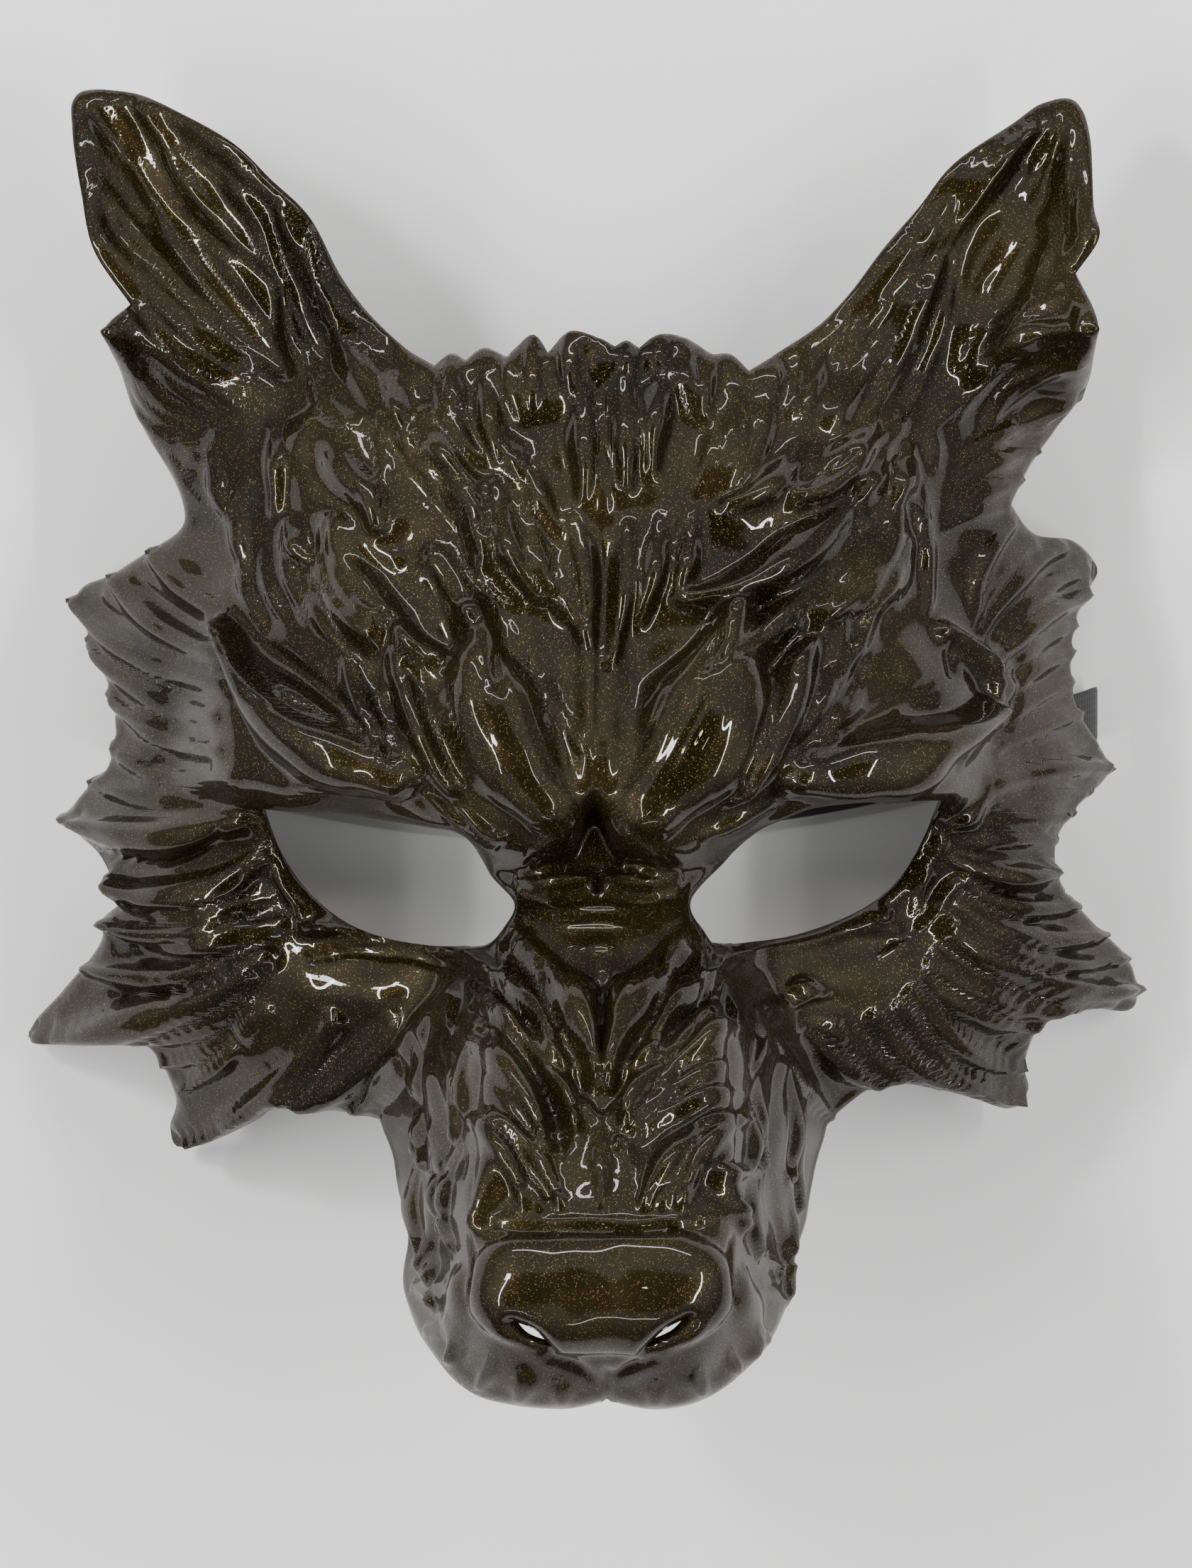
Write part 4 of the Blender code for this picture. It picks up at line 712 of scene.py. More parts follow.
@dataclass(frozen=True)
class FurRelief:
    """Locks of fur and grooves over the broad form, with the nose pad."""

    chart: Chart
    form: FaceForm
    lock_height: float = 0.0033
    lock_slope: float = 1.05
    crown_power: float = 2.4
    crown_round: float = 0.6
    valley_width: float = 0.60
    valley_reach: float = 1.3
    bulge_height: float = 0.0022
    bulge_round: float = 1.5
    bulge_overlap: float = 0.35
    root_width: float = 0.55
    root_end: float = 0.4
    tip_width: float = 0.30
    tip_start: float = 0.5
    root_height: float = 0.35
    full_height_from: float = 0.6
    groove_depth: float = 0.0016
    bow_points: int = 13
    side_reach: float = 1.7
    stretch_limit: float = 2.6
    strand_reach: float = 1.2
    strand_fade: float = 2.5
    pad_middle: tuple[int, int] = (846, 1806)
    pad_reach: tuple[int, int] = (184, 92)
    pad_corners: float = 2.5
    pad_rise: float = 0.0030
    pad_round: float = 0.5
    carving: tuple[tuple[float, float, float, float], ...] = (
        (310.0, 140.0, 0.4, 0.00022), (-180.0, 330.0, 1.9, 0.00020), (520.0, -390.0, 3.1, 0.00011),
        (260.0, 610.0, 5.2, 0.00010),
    )

    def line(self, lock: Lock) -> Array:
        """The middle line of a lock.

        Args:
            lock: The lock's row.

        Returns:
            Points from its root to its tip.
        """
        root = np.array((self.chart.x(lock.root_x), self.chart.y(lock.root_y)))
        tip = np.array((self.chart.x(lock.tip_x), self.chart.y(lock.tip_y)))
        run = tip - root
        bent = (root + tip) / 2 + lock.bow * np.array((-run[1], run[0])) * 2
        t = np.linspace(0.0, 1.0, self.bow_points)[:, None]
        return (1 - t) ** 2 * root + 2 * t * (1 - t) * bent + t ** 2 * tip

    def nose_pad(self, x: Array, y: Array) -> Array:
        """Rise of the nose pad, a cushion with full corners.

        Args:
            x: Places across the mask.
            y: Places up the mask.

        Returns:
            Its height over the snout.
        """
        across = np.abs(self.chart.column(x) - self.pad_middle[0]) / self.pad_reach[0]
        down = np.abs(self.chart.row(y) - self.pad_middle[1]) / self.pad_reach[1]
        share = across ** self.pad_corners + down ** self.pad_corners
        return self.pad_rise * np.clip(1.0 - share, 0.0, 1.0) ** self.pad_round

    def hand_carved(self, x: Array, y: Array) -> Array:
        """Slight unevenness of a surface carved by hand.

        Args:
            x: Places across the mask.
            y: Places up the mask.

        Returns:
            Rises and dips of a fraction of a millimetre.
        """
        uneven = np.zeros(x.shape)
        for across, up, start, height in self.carving:
            sway = 1.5 * np.sin(0.6 * up * x - 0.5 * across * y)
            uneven += height * np.sin(across * x + up * y + start + sway)
        return uneven

    def swell(self, lock: Lock, x: Array, y: Array,
              stretch: tuple[Array, Array]) -> tuple[Array, Array, Array, Array]:
        """Measure the places near one lock.

        Args:
            lock: The lock's row.
            x: Places across the mask.
            y: Places up the mask.
            stretch: How much longer steps across and up are on the slope.

        Returns:
            Which places are near it, their share of the way from its middle line to its side, the same
            distance in metres with its sign, and the share of its length passed.
        """
        line = self.line(lock)
        half = float(self.chart.across(lock.half_width))
        low, high = line.min(axis=0) - self.side_reach * half, line.max(axis=0) + self.side_reach * half
        near = np.flatnonzero((x > low[0]) & (x < high[0]) & (y > low[1]) & (y < high[1]))
        distance, signed, along = line_distance(line, x[near], y[near], stretch[0][near], stretch[1][near])
        taper = self.root_width + (1 - self.root_width) * smooth_step(0.0, self.root_end, along)
        taper -= (1 - self.tip_width) * smooth_step(self.tip_start, 1.0, along)
        return near, distance / (half * taper), signed, along

    def comb(self, x: Array, y: Array) -> Fur:
        """Lay the locks over the mask.

        Args:
            x: Places across the mask.
            y: Places up the mask.

        Returns:
            The relief there and the strands for the finish.
        """
        across, up = (np.minimum(np.sqrt(1.0 + slope ** 2), self.stretch_limit)
                      for slope in self.form.slopes(x, y))
        stretch = (across, up)
        broad, raised, sunk, strand = (np.zeros(x.shape) for _ in range(4))
        nearest, second = (np.full(x.shape, 9.0) for _ in range(2))
        for lock in BULGES:
            near, share, _, _ = self.swell(lock, x, y, stretch)
            rise = self.bulge_height * lock.height * np.clip(1.0 - share ** 2, 0.0, 1.0) ** self.bulge_round
            both = np.minimum(broad[near], rise)
            broad[near] = np.maximum(broad[near], rise) + self.bulge_overlap * both
        for lock in LOCKS:
            near, share, signed, along = self.swell(lock, x, y, stretch)
            if lock.height < 0:
                reach = np.clip(1.0 - share ** 2, 0.0, 1.0)
                sunk[near] = np.maximum(sunk[near], -self.groove_depth * lock.height * reach)
                continue
            first = share < nearest[near]
            between = ~first & (share < second[near])
            second[near[between]] = share[between]
            chosen = near[first]
            second[chosen] = nearest[chosen]
            nearest[chosen] = share[first]
            grown = smooth_step(0.0, self.full_height_from, along[first])
            rise = self.root_height + (1 - self.root_height) * grown
            tall = min(self.lock_height, self.lock_slope * float(self.chart.across(lock.half_width)))
            raised[chosen] = tall * lock.height * rise
            strand[chosen] = signed[first]
        crown = np.clip(1.0 - nearest ** self.crown_power, 0.0, 1.0) ** self.crown_round
        apart = np.clip((np.minimum(second, self.valley_reach) - nearest) / self.valley_width, 0.0, 1.0)
        raised = raised * crown * np.sqrt(1.0 - (1.0 - apart) ** 2)
        relief = broad + np.maximum(raised, self.nose_pad(x, y)) - sunk + self.hand_carved(x, y)
        return Fur(relief, strand, np.clip(self.strand_fade * (self.strand_reach - nearest), 0.0, 1.0))


@dataclass
class Unrolled:
    """The broad form laid flat row by row, so that steep walls get as many faces as level ones."""

    form: FaceForm
    margin: float = 0.006
    column_count: int = 420
    row_count: int = 280
    columns: Array = field(init=False)
    rows: Array = field(init=False)
    laid: Array = field(init=False)

    def __post_init__(self) -> None:
        """Measure every row of the form from its middle."""
        reach_x = self.form.chart.width / 2 + self.margin
        reach_y = self.form.chart.height / 2 + self.margin
        self.columns = np.linspace(-reach_x, reach_x, self.column_count)
        self.rows = np.linspace(-reach_y, reach_y, self.row_count)
        grid_x, grid_y = np.meshgrid(self.columns, self.rows)
        runs = np.hypot(np.diff(grid_x, axis=1), np.diff(self.form.height(grid_x, grid_y), axis=1))
        laid = np.concatenate((np.zeros((self.row_count, 1)), np.cumsum(runs, axis=1)), axis=1)
        self.laid = laid - laid[:, self.column_count // 2][:, None]

    def row_of(self, y: float) -> Array:
        """The laid-out places of one row.

        Args:
            y: The row's y.

        Returns:
            Where each column of that row lies when the form is flat.
        """
        place = np.clip((y - self.rows[0]) / (self.rows[1] - self.rows[0]), 0, self.row_count - 1.001)
        index = int(place)
        share = place - index
        return self.laid[index] * (1 - share) + self.laid[index + 1] * share

    def flatten(self, outline: Sequence[Point]) -> list[Point]:
        """An outline laid flat."""
        return [(float(np.interp(x, self.columns, self.row_of(y))), y) for x, y in outline]

    def fold(self, flat: float, y: float) -> float:
        """The x of a place that was laid flat."""
        return float(np.interp(flat, self.row_of(y), self.columns))


class Edge(NamedTuple):
    """An outline laid flat, as loops of edges on both sheets of the shell."""

    outline: list[Point]
    loops: list[list[bmesh.types.BMEdge]]


@dataclass
class MaskShell:
    """The moulded shell: face, ears and snout in one thin wall."""

    form: FaceForm
    relief: FurRelief
    wall: float = 0.0016
    outer_step: float = 0.00066
    inner_step: float = 0.0018
    rim_step: float = 0.0007
    clearance: float = 0.6
    groove_limit: float = 0.0012
    rim_width: float = 0.0020
    rim_relief: float = 0.45
    rim_round: float = 0.0008
    rim_kept: float = 0.4
    bead_height: float = 0.00025
    bead_place: float = 0.9
    bead_spread: float = 0.4
    hollow_relief: float = 0.7
    hollow_fade: float = 0.003
    smoothings: int = 2
    fur_smoothings: int = 4
    smooth_row: int = 1150
    sharp_angle: float = 70.0
    name: str = "mask_shell_lacquered"
    lift: float = field(init=False, default=0.0)

    def outline_points(self, rows: Outline) -> list[Point]:
        """Even points along an outline.

        Args:
            rows: The outline's points on the chart.

        Returns:
            Points on curves between its corners, sharp at the corners.
        """
        chart = self.form.chart
        places = [np.array((chart.x(corner.x), chart.y(corner.y))) for corner in rows]
        points = []
        for index, corner in enumerate(rows):
            after = (index + 1) % len(rows)
            start, end = places[index], places[after]
            chord = end - start
            leave = chord if corner.turn is SHARP else (end - places[index - 1]) / 2
            arrive = chord if rows[after].turn is SHARP else (places[(index + 2) % len(rows)] - start) / 2
            pieces = max(1, round(float(np.hypot(*chord)) / self.rim_step))
            for share in np.arange(pieces) / pieces:
                x, y = bend(share, start, leave, end, arrive)
                points.append((float(x), float(y)))
        return points

    @staticmethod
    def inside(outline: Sequence[Point], x: Array, y: Array) -> Array:
        """Whether places lie within an outline.

        Args:
            outline: A closed outline.
            x: Places across.
            y: Places up.

        Returns:
            True for each place within it.
        """
        corners = np.array(outline)
        crossings = np.zeros(x.shape, dtype=int)
        for (x0, y0), (x1, y1) in zip(corners, np.roll(corners, -1, axis=0)):
            if y1 != y0:
                rows = np.flatnonzero((y0 > y) != (y1 > y))
                crossings[rows] += x[rows] < x0 + (y[rows] - y0) / (y1 - y0) * (x1 - x0)
        return crossings % 2 == 1

    @staticmethod
    def away_from(outline: Sequence[Point], x: Array, y: Array, reach: float) -> Array:
        """Distance from an outline, as far as it matters.

        Args:
            outline: A closed outline.
            x: Places across.
            y: Places up.
            reach: The distance past which all places count the same.

        Returns:
            The distances, none over reach.
        """
        nearest = np.full(x.shape, reach)
        order = np.argsort(y)
        rising = y[order]
        corners = np.array(outline)
        for (x0, y0), (x1, y1) in zip(corners, np.roll(corners, -1, axis=0)):
            first = np.searchsorted(rising, min(y0, y1) - reach)
            last = np.searchsorted(rising, max(y0, y1) + reach)
            band = order[first:last]
            band = band[np.abs(x[band] - x0) < reach + abs(x1 - x0)]
            run_x, run_y = x1 - x0, y1 - y0
            square = max(run_x ** 2 + run_y ** 2, 1e-14)
            t = np.clip(((x[band] - x0) * run_x + (y[band] - y0) * run_y) / square, 0.0, 1.0)
            distance = np.hypot(x[band] - x0 - t * run_x, y[band] - y0 - t * run_y)
            nearest[band] = np.minimum(nearest[band], distance)
        return nearest

    def fill(self, mesh: bmesh.types.BMesh, edges: Sequence[Edge], sheet: int, step: float,
             level: float) -> None:
        """Fill a flat sheet between loops with a lattice, joined to the loops by triangles.

        Args:
            mesh: The mesh to fill in.
            edges: The outlines, the rim first, with their loops.
            sheet: Which of the loops the sheet joins.
            step: Spacing of the lattice.
            level: The sheet's z while it is flat.
        """
        low = np.min(edges[0].outline, axis=0)
        size = np.max(edges[0].outline, axis=0) - low
        counts = [max(2, math.ceil(length / step)) for length in size]
        grid = bmesh.ops.create_grid(mesh, x_segments=counts[0], y_segments=counts[1], size=0.5)
        lattice = grid["verts"]
        for vert in lattice:
            vert.co = (low[0] + (vert.co.x + 0.5) * size[0], low[1] + (vert.co.y + 0.5) * size[1], level)
        x = np.array([vert.co.x for vert in lattice])
        y = np.array([vert.co.y for vert in lattice])
        keep = self.inside(edges[0].outline, x, y)
        for edge in edges[1:]:
            keep &= ~self.inside(edge.outline, x, y)
        for edge in edges:
            keep &= self.away_from(edge.outline, x, y, 2 * step) > step * self.clearance
        dropped = [vert for vert, kept in zip(lattice, keep) if not kept]
        while dropped:
            bmesh.ops.delete(mesh, geom=dropped, context="VERTS")
            lattice = [vert for vert in lattice if vert.is_valid]
            dropped = [vert for vert in lattice if not vert.link_faces
                       or sum(len(edge.link_faces) < 2 for edge in vert.link_edges) > 2]
        border = [edge for vert in lattice for edge in vert.link_edges if len(edge.link_faces) == 1]
        border = list(dict.fromkeys(border))
        loops = [edge for outline in edges for edge in outline.loops[sheet]]
        bmesh.ops.triangle_fill(mesh, use_beauty=True, use_dissolve=False, normal=(0, 0, 1),
                                edges=border + loops)

    def slab(self, unrolled: Unrolled) -> tuple[bmesh.types.BMesh, list[Edge]]:
        """Cut the shell out flat, as a slab of two sheets.

        Args:
            unrolled: The broad form laid flat.

        Returns:
            The slab, with its outer sheet at 0 and its inner one at -1, and its edges.
        """
        mesh = bmesh.new()
        edges = []
        for rows in (RIM_OUTLINE, *OPENINGS):
            outline = unrolled.flatten(self.outline_points(rows))
            verts = [mesh.verts.new((x, y, 0.0)) for x, y in outline]
            loop = [mesh.edges.new((vert, after)) for vert, after in zip(verts, verts[1:] + verts[:1])]
            edges.append(Edge(outline, [loop]))
        self.fill(mesh, edges, 0, self.outer_step, 0.0)
        for edge in edges:
            made = bmesh.ops.extrude_edge_only(mesh, edges=edge.loops[0])["geom"]
            for vert in (item for item in made if isinstance(item, bmesh.types.BMVert)):
                vert.co.z = -1.0
            edge.loops.append([item for item in made if isinstance(item, bmesh.types.BMEdge)
                               and max(item.verts[0].co.z, item.verts[1].co.z) < -0.5])
        self.fill(mesh, edges, 1, self.inner_step, -1.0)
        bmesh.ops.recalc_face_normals(mesh, faces=mesh.faces[:])
        return mesh, edges

    def offsets(self, relief: Array, rim: Array, outside: Array) -> Array:
        """How far each point stands off the broad form.

        Args:
            relief: The fur's relief.
            rim: Distance from the nearest edge of the shell.
            outside: Which points lie on the outer sheet.

        Returns:
            The relief with a bead along the rounded edges, or the wall with a softer relief inside.
        """
        rise = np.maximum(relief, -self.groove_limit)
        rise = rise * (self.rim_relief + (1 - self.rim_relief) * smooth_step(0.0, self.rim_width, rim))
        off_bead = (rim - self.bead_place * self.rim_width) / (self.bead_spread * self.rim_width)
        bead = self.bead_height * np.exp(-off_bead ** 2)
        edge_round = self.rim_round * (1.0 - np.clip(rim / self.rim_width, 0.0, 1.0)) ** 2
        fade = smooth_step(0.0, self.hollow_fade, rim)
        hollow = -self.wall + self.hollow_relief * np.maximum(rise, 0.0) * fade
        return np.where(outside, rise + bead - edge_round, hollow)

    def build(self, table: float) -> bpy.types.Object:
        """Make the shell and note how far it was lifted onto the table.

        Args:
            table: The z that its lowest point stands on.

        Returns:
            The shell, with its strands kept for the finish.
        """
        unrolled = Unrolled(self.form)
        mesh, edges = self.slab(unrolled)
        verts = mesh.verts[:]
        flat = np.array([vert.co.x for vert in verts])
        y = np.array([vert.co.y for vert in verts])
        outside = np.array([vert.co.z > -0.5 for vert in verts])
        rim = np.full(y.shape, 2 * self.rim_width)
        for edge in edges:
            rim = np.minimum(rim, self.away_from(edge.outline, flat, y, 2 * self.rim_width))
        x = np.array([unrolled.fold(place, row) for place, row in zip(flat, y)])
        fur = self.relief.comb(x, y)
        offsets = self.offsets(fur.relief, rim, outside)[:, None] * self.form.normals(x, y)
        points = np.stack((x, y, self.form.height(x, y)), axis=-1) + offsets
        self.lift = float(table - points[:, 2].min())
        points[:, 2] += self.lift
        for vert, point in zip(verts, points):
            vert.co = point
        free = outside & (rim > self.rim_kept * self.rim_width)
        furry = free & (y > self.form.chart.y(self.smooth_row))
        for chosen, times in ((free, self.smoothings), (furry, self.fur_smoothings)):
            soft = [vert for vert, picked in zip(verts, chosen) if picked]
            for _ in range(times):
                bmesh.ops.smooth_vert(mesh, verts=soft, factor=0.5, use_axis_x=True, use_axis_y=True,
                                      use_axis_z=True)
        shell = finished_object(self.name, mesh, self.sharp_angle)
        for name, values in (("strand", fur.strand), ("strand_depth", fur.depth * outside)):
            attribute = shell.data.attributes.new(name, "FLOAT", "POINT")
            attribute.data.foreach_set("value", values)
        return shell


@dataclass
class ElasticStrap:
    """The flat elastic: down each tab, under the rim and along the table behind the face."""

    form: FaceForm
    lift: float
    width: float = 0.009
    thickness: float = 0.001
    wall_row: int = 1020
    middle_row: int = 1138
    seat: float = 0.0034
    tab_reach: float = 0.862
    tab_span: float = 0.115
    tab_stops: tuple[float, ...] = (0.8, 0.4, 0.0)
    rim_shares: tuple[float, float] = (0.895, 0.936)
    rim_depth: float = 0.0016
    tuck: tuple[float, float] = (0.0026, 0.0010)
    rim_pass: float = 0.0002
    drop: float = 0.0034
    bulges: tuple[float, float] = (0.4165, 0.4570)
    low_bend: tuple[float, float] = (0.0012, 0.0012)
    low_run: tuple[float, float] = (0.0042, 0.0001)
    flat_start: float = 0.0085
    flat_stops: tuple[float, ...] = (0.1, 0.2, 0.35, 0.5, 0.65, 0.8, 0.9)
    sag_reach: float = 0.4324
    pieces: int = 8
    yarns: int = 14
    edge_start: float = 0.86
    edge_thinning: float = 0.15
    name: str = "elastic_strap_woven"

    def wall_point(self, side: int, share: float, depth: float) -> Point:
        """A point inside the wall.

        Args:
            side: -1 on the left and 1 on the right.
            share: The way out to where the dome meets the table.
            depth: How far inside the broad form.

        Returns:
            Its x and z.
        """
        y = np.array([self.form.chart.y(self.wall_row)])
        x = side * share * self.form.dome_half(y)
        normal = self.form.normals(x, y)[0]
        z = float(self.form.height(x, y)[0] - depth * normal[2]) + self.lift
        return float(x[0] - depth * normal[0]), z

    def row(self, x: float) -> float:
        """The y of its middle line, which sags towards the middle of the face."""
        wall, middle = self.form.chart.y(self.wall_row), self.form.chart.y(self.middle_row)
        return middle + (wall - middle) * (x / (self.form.chart.width * self.sag_reach)) ** 2

    def side_line(self, side: int) -> list[Point]:
        """One end of its middle line.

        Args:
            side: -1 on the left and 1 on the right.

        Returns:
            Points as x and z, from the tab to the flat run on the table.
        """
        line = [self.wall_point(side, self.tab_reach - self.tab_span * back, self.seat + self.thickness / 2)
                for back in self.tab_stops]
        rim_x, rim_z = self.wall_point(side, self.rim_shares[side > 0], self.rim_depth)
        bulge = side * self.form.chart.width * self.bulges[side > 0]
        table = self.thickness / 2
        line.append((rim_x - side * self.tuck[0], rim_z - self.tuck[1]))
        line.append((rim_x - side * self.rim_pass, rim_z - self.drop))
        line.append((bulge, table + (rim_z - self.drop - table) * 0.5))
        for inwards, up in (self.low_bend, self.low_run, (self.flat_start, 0.0)):
            line.append((bulge - side * inwards, table + up))
        return line

    def middle_line(self) -> Array:
        """Its whole middle line.

        Returns:
            Points as x and z from the left tab to the right one.
        """
        left, right = self.side_line(-1), self.side_line(1)
        low, high = left[-1][0], right[-1][0]
        flat = [(low + (high - low) * share, self.thickness / 2) for share in self.flat_stops]
        places = [np.array(place) for place in left + flat + right[::-1]]
        padded = [2 * places[0] - places[1]] + places + [2 * places[-1] - places[-2]]
        points = []
        for index in range(1, len(padded) - 2):
            before, start, end, after = padded[index - 1:index + 3]
            for t in np.arange(self.pieces) / self.pieces:
                curl = 2 * before - 5 * start + 4 * end - after
                twist = 3 * start - before - 3 * end + after
                points.append(0.5 * (2 * start + (end - before) * t + curl * t ** 2 + twist * t ** 3))
        points.append(places[-1])
        return np.array(points)

    def build(self) -> bpy.types.Object:
        """Weave the strap as a grid, bend it along its line and give it its thickness.

        Returns:
            The strap, with its length and width in metres as its UV map.
        """
        line = self.middle_line()
        runs = np.gradient(line, axis=0)
        runs /= np.hypot(runs[:, 0], runs[:, 1])[:, None]
        lengths = np.concatenate(([0.0], np.cumsum(np.hypot(*np.diff(line, axis=0).T))))
        mesh = bmesh.new()
        bmesh.ops.create_grid(mesh, x_segments=len(line) - 1, y_segments=self.yarns, size=0.5)
        places = {vert.index: (round((vert.co.x + 0.5) * (len(line) - 1)), vert.co.y) for vert in mesh.verts}
        for vert in mesh.verts:
            index, across = places[vert.index]
            x, z = line[index]
            edge = max(0.0, abs(across) * 2 - self.edge_start) / (1.0 - self.edge_start)
            under = self.thickness * (0.5 - self.edge_thinning * edge)
            y = self.row(x) + across * self.width
            vert.co = (x + runs[index][1] * under, y, z - runs[index][0] * under)
        uv = mesh.loops.layers.uv.new("weave")
        for face in mesh.faces:
            for loop in face.loops:
                index, across = places[loop.vert.index]
                loop[uv].uv = (lengths[index], across * self.width)
        bmesh.ops.recalc_face_normals(mesh, faces=mesh.faces[:])
        thickness = self.thickness * (1.0 - self.edge_thinning)
        bmesh.ops.solidify(mesh, geom=mesh.faces[:], thickness=thickness)
        bmesh.ops.recalc_face_normals(mesh, faces=mesh.faces[:])
        return finished_object(self.name, mesh, 50.0)


@dataclass
class StrapTab:
    """A moulded tab against the inner wall that holds one end of the strap."""

    form: FaceForm
    strap: ElasticStrap
    side: int
    thickness: float = 0.0015
    margin: float = 0.0015
    seat: float = 0.0021
    edge: float = 0.0003
    overlap: float = 1.1
    span_columns: int = 750

    def build(self) -> bpy.types.Object:
        """Make the tab from a block, softened along its edges and bent to the wall.

        Returns:
            The tab.
        """
        mesh = bmesh.new()
        bmesh.ops.create_cube(mesh, size=1.0)
        half = self.strap.width / 2 + self.margin
        reach = self.strap.tab_span * self.overlap
        length = self.form.chart.across(self.span_columns) * reach
        bmesh.ops.scale(mesh, vec=(length, 2 * half, self.thickness), verts=mesh.verts[:])
        bmesh.ops.bevel(mesh, geom=mesh.edges[:], offset=self.edge, offset_type="OFFSET", segments=2,
                        profile=0.5, affect="EDGES", material=-1)
        lengthwise = [edge for edge in mesh.edges
                      if abs(edge.verts[0].co.x - edge.verts[1].co.x) > 0.5 * length]
        bmesh.ops.subdivide_edges(mesh, edges=lengthwise, cuts=9)
        middle = self.form.chart.y(self.strap.wall_row)
        for vert in mesh.verts:
            share = self.strap.tab_reach - self.strap.tab_span + reach * (vert.co.x / length + 0.5)
            depth = self.seat + self.thickness / 2 - vert.co.z
            x = self.form.dome_half(np.array([middle])) * share * self.side
            y = np.array([middle + vert.co.y])
            normal = self.form.normals(x, y)[0]
            height = float(self.form.height(x, y)[0])
            vert.co = (x[0] - depth * normal[0], y[0], height - depth * normal[2] + self.strap.lift)
        bmesh.ops.recalc_face_normals(mesh, faces=mesh.faces[:])
        where = "left" if self.side < 0 else "right"
        return finished_object(f"strap_tab_{where}_moulded", mesh, 30.0)


def finished_object(name: str, mesh: bmesh.types.BMesh, sharp: float) -> bpy.types.Object:
    """Turn a mesh into an object at the origin.

    Args:
        name: The object's name.
        mesh: Its mesh, freed afterwards.
        sharp: The angle in degrees past which an edge stays sharp.

    Returns:
        The object, smooth between its sharp edges.
    """
    data = bpy.data.meshes.new(name)
    mesh.to_mesh(data)
    mesh.free()
    data.shade_smooth()
    data.set_sharp_from_angle(angle=math.radians(sharp))
    return bpy.data.objects.new(name, data)


class NodeBoard:
    """A short way to lay out a material's nodes."""

    def __init__(self, name: str) -> None:
        """Start a material with a plain shader.

        Args:
            name: The material's name.
        """
        self.material = bpy.data.materials.new(name)
        self.material.use_nodes = True
        self.tree = self.material.node_tree
        self.shader = self.tree.nodes["Principled BSDF"]

    def add(self, kind: str, **settings: object) -> bpy.types.Node:
        """Add a node.

        Args:
            kind: The node's type.
            settings: Its properties by name, and its inputs by name with spaces as two underscores.

        Returns:
            The node.
        """
        node = self.tree.nodes.new(kind)
        for key, value in settings.items():
            if hasattr(node, key):
                setattr(node, key, value)
            else:
                node.inputs[key.replace("__", " ")].default_value = value
        return node

    def link(self, output: bpy.types.NodeSocket, target: bpy.types.NodeSocket) -> None:
        """Join two sockets."""
        self.tree.links.new(output, target)

    def set(self, **settings: object) -> None:
        """Set the shader's own inputs.

        Args:
            settings: Their values by name, with spaces as two underscores.
        """
        for key, value in settings.items():
            self.shader.inputs[key.replace("__", " ")].default_value = value

    def bump(self, height: bpy.types.NodeSocket, distance: float,
             under: bpy.types.NodeSocket | None = None) -> bpy.types.NodeSocket:
        """Raise the surface a little.

        Args:
            height: What raises it.
            distance: How far, in metres.
            under: Another bump that this one lies on.

        Returns:
            The bumped normal's socket.
        """
        node = self.add("ShaderNodeBump", Distance=distance)
        self.link(height, node.inputs["Height"])
        if under:
            self.link(under, node.inputs["Normal"])
        return node.outputs[0]

    def math(self, operation: str, first: object, second: object = 0.0) -> bpy.types.NodeSocket:
        """Work out a number from two others.

        Args:
            operation: The sum to do.
            first: A socket or a number.
            second: Another.

        Returns:
            The result's socket.
        """
        node = self.add("ShaderNodeMath", operation=operation)
        for socket, value in zip(node.inputs, (first, second)):
            if isinstance(value, bpy.types.NodeSocket):
                self.link(value, socket)
            else:
                socket.default_value = value
        return node.outputs[0]

    def mix(self, share: object, first: object, second: object) -> bpy.types.NodeSocket:
        """Mix two colours.

        Args:
            share: How much of the second, a socket or a number.
            first: A socket or a colour.
            second: Another.

        Returns:
            The mixed colour's socket.
        """
        node = self.add("ShaderNodeMix", data_type="RGBA")
        for socket, value in zip((node.inputs[0], node.inputs[6], node.inputs[7]), (share, first, second)):
            if isinstance(value, bpy.types.NodeSocket):
                self.link(value, socket)
            else:
                socket.default_value = (*value, 1.0) if isinstance(value, tuple) else value
        return node.outputs[2]

    def noise(self, vector: bpy.types.NodeSocket, scale: float, detail: float = 2.0) -> bpy.types.NodeSocket:
        """Soft noise.

        Args:
            vector: Where it is read.
            scale: Its repeats for each metre.
            detail: How many finer layers it has.

        Returns:
            The noise's value.
        """
        node = self.add("ShaderNodeTexNoise", Scale=scale, Detail=detail)
        self.link(vector, node.inputs["Vector"])
        return node.outputs[0]


